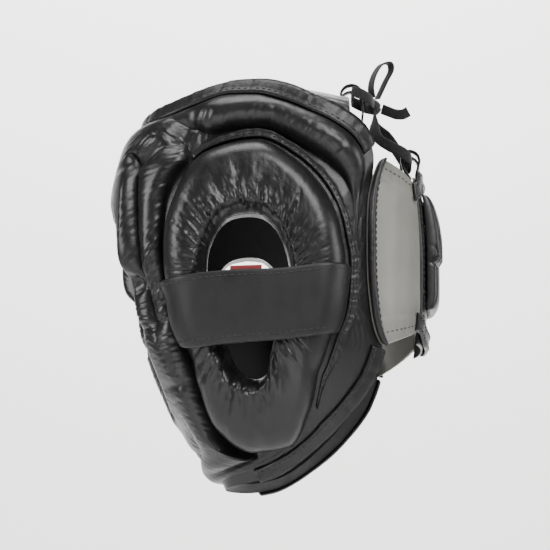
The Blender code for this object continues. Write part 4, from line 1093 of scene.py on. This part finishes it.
@dataclass
class Binding:
    """A stitched strip folded over an edge of the shell, between two stations."""

    name: str
    node: str
    first: float
    last: float
    sides: tuple[Side, ...]
    ring: bool = False
    thickness: float = 0.0026
    overhang: float = 0.0015
    seat: float = 0.0006
    steps: int = 26

    def surface(self, place: Array, share: Array, height: Array) -> tuple[Array, Array, Array]:
        """Turn, drop and lift at a share across the strip, -1 to 0 past the rim and 0 to 1 on the land."""
        c = PADDING.columns(place)
        run = FORM.point(c[8], c[9]) - FORM.point(c[11], c[12])
        length = np.linalg.norm(run, axis=-1)
        inward = PADDING.land / np.maximum(length, PADDING.land / 0.8)
        over = self.overhang / np.maximum(length, PADDING.land)
        rim = PADDING.levels(place)[4][:, None] * PADDING.roll_rise
        reach = np.where(share < 0, over[:, None] * share, inward[:, None] * share)
        turn = c[11][:, None] + (c[8] - c[11])[:, None] * reach
        drop = c[12][:, None] + (c[9] - c[12])[:, None] * reach
        return turn, drop, self.seat + rim + height

    def half(self) -> tuple[Array, Array]:
        """Outer and inner faces on the left side: a flat strip with a fold at the rim and a groove at the seam."""
        place = np.linspace(self.first, self.last, int((self.last - self.first) * self.steps))
        across = spread(17)
        share = across * 1.96 - 1.0
        share = np.where(share < 0, share, share)[None, :]
        fold = 0.0010 * np.exp(-(((share - 0.08) / 0.22) ** 2))
        groove = 0.0007 * np.exp(-(((share - 0.66) / 0.10) ** 2))
        swell = 0.0003 * ripple(place * 7.0, 3.0)[:, None] * np.sin(math.pi * across)[None, :]
        rise = (self.thickness + fold - groove + swell) * round_edge(across, 0.10)[None, :]
        if not self.ring:
            rise = rise * round_edge((place - self.first) / (self.last - self.first), 0.012)[:, None]
        upper = FORM.lifted(*self.surface(place, share, rise))
        lower = FORM.lifted(*self.surface(place, share, 0 * rise))
        return upper, lower

    def build(self, finishes: Finishes) -> list[bpy.types.Object]:
        """One strip round the front for the crown, or one on each side for the neck."""
        upper, lower = self.half()
        if self.ring:
            left_end = round_edge(np.linspace(0.5, 1, len(upper)), 0.004)[:, None, None]
            upper = lower + (upper - lower) * left_end
            grids = [np.concatenate([mirrored(x[:0:-1], Side.RIGHT), x]) for x in (upper, lower)]
            strip = plate_piece(self.name, *grids)
            return [dress(strip, finishes.trim, (self.node,))]
        made = []
        for side in self.sides:
            strip = plate_piece(f"{self.name}_{side.word}", mirrored(upper, side), mirrored(lower, side))
            made.append(dress(strip, finishes.trim, (f"{self.node}_{side.word}",)))
        return made

    def stitch_lines(self, share: float = 0.66) -> list[tuple[Array, Array]]:
        """Lines in the strip's groove, one on each side."""
        place = np.linspace(self.first + 0.02, self.last - 0.15, 300)
        turn, drop, lift = self.surface(place, np.array([[share]]), self.thickness - 0.0007)
        return [line_on(turn[:, 0], drop[:, 0], lift[:, 0], side) for side in self.sides]


@dataclass
class RearWing:
    """An unpadded leather wing with a piped front edge and a hem at its top and bottom."""

    side: Side
    lift: float = 0.0008
    top_lift: float = 0.0034
    thickness: float = 0.0026
    bead: float = 0.0034
    front: float = 115.5
    corner: float = 13.0
    rear: float = 154.0
    top: float = 0.195
    top_rear: float = 0.240
    bottom: float = 0.665
    bottom_rear: float = 0.612
    hem: float = 0.017

    def place(self, s: Array, t: Array) -> tuple[Array, Array]:
        """Turn and drop at shares from front to rear and from top to bottom; the corners are superelliptic."""
        front = self.front + self.corner * (1 - np.sqrt(1 - 0.97 * np.abs(2 * t - 1) ** 2.6))
        turn = front + (self.rear - front) * s
        top = self.top + (self.top_rear - self.top) * np.maximum(s, 0) ** 1.4
        bottom = self.bottom + (self.bottom_rear - self.bottom) * s
        return turn, top + (bottom - top) * t

    def base(self, turn: Array, drop: Array) -> Array:
        """Lift of the inner face: it climbs over the padded roll at the top front corner."""
        low = wave((drop - self.top) / 0.11)
        behind = wave((turn - self.front) / 18.0)
        return self.lift + self.top_lift * (1 - low) * (1 - behind)

    def build(self, finishes: Finishes) -> list[bpy.types.Object]:
        """The grey panel with its hems, and the black piping on it."""
        s = spread(72)[:, None]
        t = spread(110)[None, :]
        turn, drop = self.place(s, t)
        base = self.base(turn, drop)
        hem = self.hem / 0.135
        step = wave((np.abs(2 * t - 1) - (1 - 2 * hem)) / 0.03)
        slack = 0.0007 * ripple(s * 5.5 + t * 2.0, 1.0) * np.sin(math.pi * t) * np.sin(math.pi * s)
        pull = 0.0004 * crease(s * 6 + 0.3 * ripple(t * 9, 2.0)) * np.exp(-(((1 - np.abs(2 * t - 1)) / 0.25) ** 2))
        rise = (self.thickness - 0.0006 + 0.0008 * step + slack - pull) * round_edge(t, 0.012) * round_edge(s, 0.02)
        upper = mirrored(FORM.lifted(turn, drop, base + rise), self.side)
        lower = mirrored(FORM.lifted(turn, drop, base), self.side)
        name = "rear_wing_" + self.side.word
        panel = plate_piece(name + "_panel", upper, lower)
        made = [dress(panel, finishes.wing, (name,))]
        piping = self.strip(-0.004, 0.090, self.bead + self.thickness * 0.9, 0.30)
        made.append(dress(piping, finishes.trim, ()))
        return made

    def strip(self, first: float, last: float, height: float, roundness: float) -> bpy.types.Object:
        """Rounded piping along the front edge: an ellipse in section, carried down the edge."""
        t = np.linspace(0, 1, 150)[:, None]
        angle = np.linspace(0, 2 * math.pi, 20, endpoint=False)[None, :]
        s = (first + last) / 2 + (last - first) / 2 * np.cos(angle)
        end = round_edge(t, 0.02)
        s = (first + last) / 2 + (s - (first + last) / 2) * (0.35 + 0.65 * end)
        turn, drop = self.place(s, t + 0 * s)
        lift = self.base(turn, drop) + 0.0004 + height * (0.5 + 0.5 * np.sin(angle) * (0.3 + 0.7 * end))
        lift = lift + 0.0002 * ripple(t * 60, 2.0) * roundness
        name = f"wing_piping_{self.side.word}"
        return tube_piece(name, mirrored(FORM.lifted(turn, drop, lift), self.side))

    def stitch_lines(self) -> list[tuple[Array, Array]]:
        """Lines in both hems and beside the piping."""
        s = np.linspace(0.13, 0.97, 80)
        inset = self.hem / 0.135 * 0.86
        lines = []
        for t in (inset * 0.5, 1 - inset * 0.5):
            turn, drop = self.place(s, np.full_like(s, t))
            lines.append(line_on(turn, drop, self.base(turn, drop) + self.thickness, self.side))
        t = np.linspace(0.06, 0.94, 140)
        turn, drop = self.place(np.full_like(t, 0.115), t)
        lines.append(line_on(turn, drop, self.base(turn, drop) + self.thickness - 0.0003, self.side))
        return lines


@dataclass
class BackClosure:
    """The back panel, the bands that join it to the wings, and the gathered tab on it."""

    thickness: float = 0.0026
    leather: float = 0.0022
    seat: float = 0.0006
    wing_lift: float = 0.0008
    half_turn: float = 22.0
    top: float = 0.212
    bottom: float = 0.640
    strap_half_turn: float = 32.0
    strap_height: float = 0.013
    crest_turn: float = 12.0

    def build(self, finishes: Finishes) -> list[bpy.types.Object]:
        """All four pieces."""
        half = self.strap_height / 2 / FORM.height
        made = [dress(self.panel(), finishes.padded, ("back_panel",))]
        for name, side_drop, middle_drop in (("back_strap_top", 0.240 + half, self.top), ("back_strap_bottom", 0.612 - half, self.bottom - half)):
            made.append(dress(self.strap(name + "_skin", side_drop, middle_drop), finishes.trim, (name,)))
        tab = dress(self.tab(), finishes.padded, ("closure_tab",))
        made.append(tab)
        return made

    def panel(self) -> bpy.types.Object:
        """Flat panel with soft ripples."""
        s = spread(50)[:, None]
        t = spread(90)[None, :]
        turn = 180 + (2 * s - 1) * self.half_turn + 0 * t
        drop = self.top + (self.bottom - self.top) * t + 0 * s
        wavy = 0.0004 * ripple(s * 9 + t * 4, 2.0)
        rise = (self.thickness - 0.0005 + wavy) * round_edge(s, 0.03) * round_edge(t, 0.02)
        return plate_piece("back_panel_skin", FORM.lifted(turn, drop, rise), FORM.lifted(turn, drop, 0 * rise))

    def strap(self, name: str, side_drop: float, middle_drop: float) -> bpy.types.Object:
        """Band from wing to wing that rises over the panel by an even step."""
        offset = np.linspace(-1, 1, 120)[:, None] * self.strap_half_turn
        across = spread(13)[None, :]
        drop = self.strap_middle(offset, side_drop, middle_drop) + (across - 0.5) * self.strap_height / FORM.height
        lift = self.strap_lift(offset) + 0 * across
        rise = self.leather * round_edge(across, 0.10) * round_edge(offset / (2 * self.strap_half_turn) + 0.5, 0.012)
        upper = FORM.lifted(180 + offset + 0 * across, drop, lift + rise)
        lower = FORM.lifted(180 + offset + 0 * across, drop, lift)
        return plate_piece(name, upper, lower)

    def strap_middle(self, offset: Array, side_drop: float, middle_drop: float) -> Array:
        """Drop of a band's middle line at a turn from the back."""
        bend = wave((self.strap_half_turn - np.abs(offset)) / (self.strap_half_turn - self.crest_turn))
        return side_drop + (middle_drop - side_drop) * bend

    def strap_lift(self, offset: Array) -> Array:
        """Lift of a band's inner face at a turn from the back."""
        climb = np.clip((np.abs(offset) - self.half_turn) / 4.0, 0, 1)
        return self.thickness + self.seat + self.wing_lift * climb

    def tab(self) -> bpy.types.Object:
        """Tab that bulges in gathers above its seam and lies flat below it."""
        s = (2 * spread(64) - 1)[:, None]
        t = np.linspace(0, 1, 110)[None, :]
        turn = 180 + 14.0 * s + 0 * t
        drop = 0.250 + 0.295 * t + 0 * s
        seam = (0.425 - 0.250) / 0.295
        upper_part = puff(t / seam * 1.3) * (1 - 0.25 * puff(1 - np.abs(t - seam) / 0.06))
        lower_part = 0.0060 / 0.0085 * puff((1 - t) * 6)
        body = np.where(t < seam, upper_part, lower_part)
        near = np.exp(-(((seam - t) / 0.22) ** 2)) * (t < seam)
        gather = 1 - 0.30 * crease(s * 4.2 + 0.3 * ripple(t * 12, 3.0)) * near - 0.06 * ripple(s * 6, 1.0)
        groove = 0.45 * np.exp(-(((t - seam) / 0.014) ** 2))
        edge = puff((1 - np.abs(s)) * 3)
        lift = self.thickness + self.seat
        rise = (self.leather * round_edge((s + 1) / 2, 0.03) + 0.0085 * body * gather * (1 - groove) * edge) * round_edge(t, 0.015)
        return plate_piece("closure_tab_skin", FORM.lifted(turn, drop, lift + rise), FORM.lifted(turn, drop, lift + 0 * rise))

    def stitch_lines(self) -> list[tuple[Array, Array]]:
        """Lines along both edges of the bands and beside the panel's edges."""
        half = self.strap_height / 2 / FORM.height
        lines = []
        offset = np.linspace(-0.94, 0.94, 100) * self.strap_half_turn
        for side_drop, middle_drop in ((0.240 + half, self.top), (0.612 - half, self.bottom - half)):
            middle = self.strap_middle(offset, side_drop, middle_drop)
            for across in (-0.3, 0.3):
                drop = middle + across * self.strap_height / FORM.height
                lines.append(line_on(180 + offset, drop, self.strap_lift(offset) + self.leather))
        drop = np.linspace(self.top + 0.03, self.bottom - 0.05, 80)
        for edge in (-0.86, 0.86):
            lines.append(line_on(180 + self.half_turn * edge, drop, np.full_like(drop, self.thickness - 0.0004)))
        return lines


@dataclass
class CrownFlap:
    """The leather panel stretched over the crown between the two sides of the rim."""

    leather: float = 0.0022
    inset: float = 0.0015
    rear: float = 0.047
    seat: float = 0.0012
    crown: float = 0.0035
    rear_fall: float = 0.0060
    front_fall: float = 0.0100
    climb: float = 0.060

    def build(self, finishes: Finishes) -> bpy.types.Object:
        """Dome that starts at the rim by a quarter round and falls a little to the back and front."""
        place = np.linspace(0, 9, 800)
        c = PADDING.columns(place)
        seat = PADDING.levels(place)[4] * PADDING.roll_rise - PADDING.wall / 2
        rim = FORM.lifted(c[11], c[12], seat)
        depth = rim[0, 1] + self.inset + (self.rear - rim[0, 1] - self.inset) * spread(100)
        half = np.interp(depth, rim[:, 1], rim[:, 0])[:, None]
        edge = np.interp(depth, rim[:, 1], rim[:, 2]) + self.seat
        s = (2 * spread(100) - 1)[None, :]
        rear_fall = self.rear_fall * wave((depth - self.rear) / self.climb + 0.7)
        front_fall = self.front_fall * wave((-self.rear - depth) / self.climb + 0.2)
        swell = puff((depth - depth[0]) / self.climb)
        middle = edge + (self.crown - rear_fall - front_fall - edge) * swell
        lower = edge[:, None] + (middle - edge)[:, None] * (1 - np.abs(s) ** 2.5)
        y = depth[:, None] + 0 * s
        slack = 0.0006 * ripple(half * s * 70, 1.0) * ripple(y * 60, 2.0) * (1 - s**4)
        pull = 0.0005 * crease(half * s * 90 + 0.4 * ripple(y * 120, 3.0)) * np.exp(-(((y - self.rear) / 0.03) ** 2))
        t = ((depth - depth[0]) / (depth[-1] - depth[0]))[:, None]
        rise = self.leather * round_edge(t, 0.012) * round_edge((s + 1) / 2, 0.01)
        body = (slack - pull) * round_edge(t, 0.05) * round_edge((s + 1) / 2, 0.05)
        upper = np.stack([half * s, y, lower + rise + body], axis=-1)
        under = np.stack([half * s, y, lower], axis=-1)
        return dress(plate_piece("crown_flap_skin", upper, under), finishes.padded, ("crown_flap",))


@dataclass
class Band:
    """A flat band carried along a route; each row gives a point and the way that the band is wide."""

    name: str
    route: tuple
    width: float
    thickness: float
    shift: float = 0.0
    steps: int = 90
    cup: float = 0.0

    def path(self) -> tuple[Array, Array, Array]:
        """Points, the way the band is wide and the way it is thin, along a Catmull-Rom curve."""
        table = np.array(self.route, float)
        place = np.linspace(0, len(table) - 1, self.steps)
        columns = np.stack([spline_through(place, table[:, k]) for k in range(6)], axis=-1)
        points = columns[:, :3] + np.array([self.shift, 0.0, 0.0])
        tangent = np.gradient(points, axis=0)
        tangent = tangent / np.linalg.norm(tangent, axis=-1, keepdims=True)
        wide = columns[:, 3:]
        wide = wide - tangent * np.sum(wide * tangent, axis=-1, keepdims=True)
        wide = wide / np.linalg.norm(wide, axis=-1, keepdims=True)
        return points, wide, np.cross(tangent, wide)

    def build(self, material: bpy.types.Material, nodes: tuple[str, ...], slot: str) -> bpy.types.Object:
        """Band whose section is a flattened superellipse, a little cupped."""
        points, wide, thin = self.path()
        angle = np.linspace(0, 2 * math.pi, 24, endpoint=False)
        a = np.sign(np.cos(angle)) * np.abs(np.cos(angle)) ** 0.55
        b = np.sign(np.sin(angle)) * np.abs(np.sin(angle)) ** 0.75 - self.cup * a**2
        loops = points[:, None] + wide[:, None] * (a * self.width / 2)[None, :, None] + thin[:, None] * (b * self.thickness / 2)[None, :, None]
        length = float(np.sum(np.linalg.norm(np.diff(points, axis=0), axis=1)))
        piece = tube_piece(self.name, loops, uv_size=(length, 2.2 * self.width))
        return dress(piece, material, nodes)


# Rows of a route: across, depth and height of a point, then the way that the band is wide
CROWN_LOOP = (
    (0, 0.0430, 0.0022, 1, 0, 0),
    (0, 0.0415, 0.0060, 1, 0, 0),
    (0, 0.0445, 0.0105, 1, 0, 0),
    (0, 0.0500, 0.0120, 1, 0, 0),
    (0, 0.0555, 0.0090, 1, 0, 0),
    (0, 0.0580, 0.0010, 1, 0, 0),
    (0, 0.0575, -0.0095, 1, 0, 0),
)
BACK_LOOP = (
    (0, 0.0976, -0.0605, 1, 0, 0),
    (0, 0.0965, -0.0560, 1, 0, 0),
    (0, 0.0978, -0.0505, 1, 0, 0),
    (0, 0.0990, -0.0450, 1, 0, 0),
    (0, 0.0970, -0.0400, 1, 0, 0),
    (0, 0.0920, -0.0378, 1, 0, 0),
    (0, 0.0872, -0.0398, 1, 0, 0),
    (0, 0.0860, -0.0450, 1, 0, 0),
    (0, 0.0880, -0.0520, 1, 0, 0),
    (0, 0.0925, -0.0590, 1, 0, 0),
)
LACE_TOP = (
    (0.0040, 0.0500, 0.0066, 0, 0, 1),
    (0.0110, 0.0500, 0.0066, 0, 0, 1),
    (0.0166, 0.0508, 0.0063, 0, 0, 1),
    (0.0182, 0.0570, 0.0035, 0, 0, 1),
    (0.0150, 0.0630, 0.0005, 0, 0, 1),
    (0.0079, 0.0657, -0.0010, 0, 0, 1),
)
LACE_LEFT = (
    (0.0051, 0.0662, -0.0080, 0.8, 0, 0.6),
    (0.0095, 0.0658, -0.0138, 0.8, 0.4, 0.4),
    (0.0140, 0.0660, -0.0215, 0.6, 1, 0),
    (0.0165, 0.0690, -0.0295, 0.6, 0.8, 0.5),
    (0.0185, 0.0770, -0.0355, 0.3, 0.3, 1),
    (0.0190, 0.0860, -0.0400, 0, 0.2, 1),
    (0.0168, 0.0915, -0.0441, 0, 0, 1),
    (0.0110, 0.0930, -0.0441, 0, 0, 1),
    (0.0035, 0.0930, -0.0441, 0, 0, 1),
)
LACE_RIGHT = (
    (-0.0051, 0.0662, -0.0080, 0.8, 0, -0.6),
    (-0.0095, 0.0700, -0.0142, 0.8, 0.4, -0.2),
    (-0.0145, 0.0770, -0.0220, 0.6, 0.8, 0.5),
    (-0.0185, 0.0850, -0.0335, 0.2, 0.5, 1),
    (-0.0168, 0.0912, -0.0441, 0, 0, 1),
    (-0.0110, 0.0930, -0.0441, 0, 0, 1),
    (-0.0035, 0.0930, -0.0441, 0, 0, 1),
)
LACE_BOW = (
    (0.0020, 0.0650, 0.0050, 1, 0.6, 0),
    (0.0040, 0.0640, 0.0130, 1, 0.6, 0),
    (0.0045, 0.0665, 0.0220, 1, 0.6, 0),
    (0.0035, 0.0715, 0.0295, 1, 0.6, 0),
    (0.0015, 0.0775, 0.0310, 1, 0.6, 0),
    (-0.0005, 0.0785, 0.0260, 1, 0.6, 0),
    (-0.0020, 0.0745, 0.0180, 1, 0.6, 0),
    (-0.0025, 0.0710, 0.0105, 1, 0.6, 0),
    (-0.0020, 0.0685, 0.0050, 1, 0.6, 0),
)
LACE_END = (
    (0.0010, 0.0719, -0.0035, 0.6, 0, 1),
    (0.0020, 0.0775, -0.0060, 0.6, 0, 1),
    (0.0035, 0.0820, -0.0080, 0.6, 0, 1),
    (0.0050, 0.0870, -0.0085, 0.6, 0, 1),
    (0.0060, 0.0915, -0.0065, 0.6, 0, 1),
)


@dataclass
class Lacing:
    """The leather loops and the flat lace tied between them."""

    loop_width: float = 0.008
    loop_thickness: float = 0.0018
    loop_spread: float = 0.011
    lace_width: float = 0.0080
    lace_thickness: float = 0.0016
    knot_at: tuple[float, float, float] = (0.0, 0.066, -0.002)
    knot_radius: float = 0.0065

    def build(self, finishes: Finishes) -> list[bpy.types.Object]:
        """Every loop, each stretch of the lace, and its knot, bow and end."""
        made = []
        for node, route in (("crown_loop", CROWN_LOOP), ("back_loop", BACK_LOOP)):
            for side in Side:
                name = f"{node}_{side.word}"
                band = Band(name + "_skin", route, self.loop_width, self.loop_thickness, side.value * self.loop_spread)
                made.append(band.build(finishes.trim, (name,), "black_leather"))
        mirrored_top = tuple((-row[0], *row[1:]) for row in LACE_TOP)
        stretches = (
            ("lace_top_left", LACE_TOP),
            ("lace_top_right", mirrored_top),
            ("lace_left", LACE_LEFT),
            ("lace_right", LACE_RIGHT),
            ("lace_bow", LACE_BOW),
            ("lace_end", LACE_END),
        )
        for name, route in stretches:
            band = Band(name + "_woven", route, self.lace_width, self.lace_thickness, cup=0.25)
            made.append(band.build(finishes.lace, (name,), "black_woven_lace"))
        made.append(self.knot(finishes))
        return made

    def knot(self, finishes: Finishes) -> bpy.types.Object:
        """Three turns of the lace round each other: bands on tilted rings about one middle."""
        angle = np.linspace(0, 2 * math.pi, 48, endpoint=False)[:, None]
        section = np.linspace(0, 2 * math.pi, 16, endpoint=False)[None, :]
        wide = np.sign(np.cos(section)) * np.abs(np.cos(section)) ** 0.6 * self.lace_width * 0.40
        thin = np.sin(section) * self.lace_thickness * 0.6
        parts, faces, count = [], [], 0
        for tilt, turn, scale in ((8, 0, 0.86), (52, 20, 0.98), (-48, -25, 1.06)):
            radius = self.knot_radius * 0.72 * scale + thin
            bend = 1 - 0.35 * (wide / self.lace_width) ** 2
            local = np.stack([radius * bend * np.cos(angle), radius * bend * np.sin(angle), wide + 0 * angle], axis=-1)
            a, b = math.radians(tilt), math.radians(turn)
            lean = np.array([[1, 0, 0], [0, math.cos(a), -math.sin(a)], [0, math.sin(a), math.cos(a)]])
            spin = np.array([[math.cos(b), -math.sin(b), 0], [math.sin(b), math.cos(b), 0], [0, 0, 1]])
            points = (local @ lean.T @ spin.T).reshape(-1, 3) * np.array([1.1, 0.95, 1.0])
            numbers = np.arange(angle.size * section.size).reshape(angle.size, section.size)
            numbers = np.concatenate([numbers, numbers[:1]])
            numbers = np.concatenate([numbers, numbers[:, :1]], axis=1)
            faces.append(outward(points, grid_quads(numbers)) + count)
            parts.append(points + np.array(self.knot_at))
            count += len(points)
        quads = np.concatenate(faces)
        points = np.concatenate(parts)
        uv = points[quads.ravel()][:, [0, 2]] * 1.3
        knot = mesh_from_quads("lace_knot_woven", points, quads, uv)
        return dress(knot, finishes.lace, ("lace_knot",))


@dataclass
class Label:
    """The small red label behind the band over the left ear pad."""

    length: float = 0.021
    height: float = 0.007
    thickness: float = 0.0012
    tuck: float = 0.004
    forward: float = 0.0065

    def build(self, finishes: Finishes) -> bpy.types.Object:
        """Bare strip of woven label with soft edges."""
        s = spread(30)[:, None]
        t = spread(14)[None, :]
        depth = PAD.middle_depth * FORM.depth - self.forward + (s - 0.5) * self.length + 0 * t
        drop = 0.500 + ((t - 1) * self.height + self.tuck) / FORM.height + 0 * s
        lift = PAD.thickness + PAD.gap + 0.0012 - 0.0006 - self.thickness
        rise = self.thickness * round_edge(s, 0.04) * round_edge(t, 0.08)
        label = plate_piece("inner_label_left_woven", FORM.beside(depth, drop, lift + rise), FORM.beside(depth, drop, lift + 0 * rise))
        layer = label.data.uv_layers.new(name="along")
        numbers = np.empty(len(label.data.loops), np.int32)
        label.data.loops.foreach_get("vertex_index", numbers)
        place = np.empty(len(label.data.vertices) * 3, np.float32)
        label.data.vertices.foreach_get("co", place)
        layer.data.foreach_set("uv", place.reshape(-1, 3)[numbers][:, 1:].ravel())
        return dress(label, finishes.label, ("inner_label_left",))


# Studio


@dataclass
class Studio:
    """Pale sweep, soft lights and the camera."""

    floor_z: float = -1.15
    metres_per_pixel: float = 0.00072
    image: int = 550
    distance: float = 3.0
    near_side: float = 0.06
    elevation: float = -11.0
    middle: tuple[float, float] = (-0.0072, -0.126)

    def build(self) -> None:
        """Make the sweep, the lights and the camera."""
        self.sweep()
        self.world()
        self.light("key_softbox", (2.2, 0.9, 1.5), 1.6, 70)
        self.light("front_softbox", (1.1, -2.4, 0.5), 1.4, 46)
        self.light("top_softbox", (0.1, -0.2, 2.4), 1.5, 40)
        self.light("rear_softbox", (0.4, 2.6, 0.4), 1.2, 22)
        self.light("low_fill", (1.8, -0.3, -1.0), 1.2, 8)
        self.light("backdrop_wash", (-3.4, 0.0, 3.0), 2.6, 420, (-5.5, 0.0, 0.9))
        self.camera()

    def sweep(self) -> None:
        """Floor that curves up into a backdrop behind the object, by a quarter circle."""
        depth = np.concatenate([np.linspace(5, -4, 20), -4 - 1.5 * np.sin(np.linspace(0.1, math.pi / 2, 16)), np.full(12, -5.5)])
        rise = np.concatenate([np.zeros(20), 1.5 * (1 - np.cos(np.linspace(0.1, math.pi / 2, 16))), np.linspace(1.8, 6, 12)])
        side = np.linspace(-8, 8, 24)
        x, y = np.meshgrid(depth, side, indexing="ij")
        z = self.floor_z + rise[:, None] + 0 * y
        numbers = np.arange(x.size).reshape(x.shape)
        quads = grid_quads(numbers)[:, ::-1]
        floor = mesh_from_quads("studio_sweep", np.stack([x, y, z], axis=-1).reshape(-1, 3), quads)
        floor.data.materials.append(Painted("matt_white_board", "f4f4f3").material())

    def world(self) -> None:
        """Even pale light from all round."""
        world = bpy.data.worlds.new("pale_room")
        world.use_nodes = True
        background = world.node_tree.nodes["Background"]
        background.inputs["Color"].default_value = linear("fbfbfa")
        background.inputs["Strength"].default_value = 0.15
        bpy.context.scene.world = world

    def light(
        self,
        name: str,
        place: tuple[float, float, float],
        size: float,
        power: float,
        towards: tuple[float, float, float] = (0.0, 0.0, -0.14),
    ) -> None:
        """Square soft light turned to the object, or to another place."""
        lamp = bpy.data.lights.new(name, "AREA")
        lamp.energy = power
        lamp.size = size
        item = bpy.data.objects.new(name, lamp)
        item.location = place
        item.rotation_euler = (Vector(towards) - Vector(place)).to_track_quat("-Z", "Y").to_euler()
        bpy.context.scene.collection.objects.link(item)

    def camera(self) -> None:
        """Camera at the photograph's angle: from the wearer's left, a little below."""
        angle = math.radians(self.elevation)
        target = Vector((0.0, self.middle[0], self.middle[1] / math.cos(angle)))
        away = Vector((math.cos(angle), 0.0, math.sin(angle)))
        camera = bpy.data.cameras.new("camera")
        camera.sensor_width = 36.0
        camera.lens = 36.0 * (self.distance - self.near_side) / (self.image * self.metres_per_pixel)
        camera.clip_end = 50.0
        item = bpy.data.objects.new("camera", camera)
        item.location = target + away * self.distance
        item.rotation_euler = (-away).to_track_quat("-Z", "Y").to_euler()
        bpy.context.scene.collection.objects.link(item)
        bpy.context.scene.camera = item


def main() -> None:
    """Build every piece in order, then the studio."""
    logging.basicConfig(level=logging.INFO, format="%(message)s")
    finishes = Finishes()
    PaddedShell().build(finishes)
    trim_lines = []
    strap_lines = []
    wing_lines = []
    for side in Side:
        EarPad(side).build(finishes)
        strap = EarStrap(side)
        strap.build(finishes)
        strap_lines += strap.stitch_lines()
        flange = EarFlange(side)
        flange.build(finishes)
        trim_lines.append(flange.stitch_line())
        wing = RearWing(side)
        wing.build(finishes)
        wing_lines += wing.stitch_lines()
    both = (Side.LEFT, Side.RIGHT)
    crown = Binding("crown_binding_skin", "crown_binding", 0, 10.6, both, ring=True)
    neck = Binding("neck_binding_skin", "neck_binding", 15.2, 20.4, both)
    crown.build(finishes)
    neck.build(finishes)
    CrownFlap().build(finishes)
    closure = BackClosure()
    closure.build(finishes)
    Lacing().build(finishes)
    Label().build(finishes)
    StitchRow("stitches_ear_straps").build(strap_lines, finishes, "black_leather")
    StitchRow("stitches_flanges").build(trim_lines, finishes, "flange_leather")
    StitchRow("stitches_wings").build(wing_lines, finishes, "black_leather")
    StitchRow("stitches_bindings").build(crown.stitch_lines() + neck.stitch_lines(), finishes, "black_leather")
    StitchRow("stitches_back").build(closure.stitch_lines(), finishes, "black_leather")
    Studio().build()


if __name__ == "__main__":
    main()
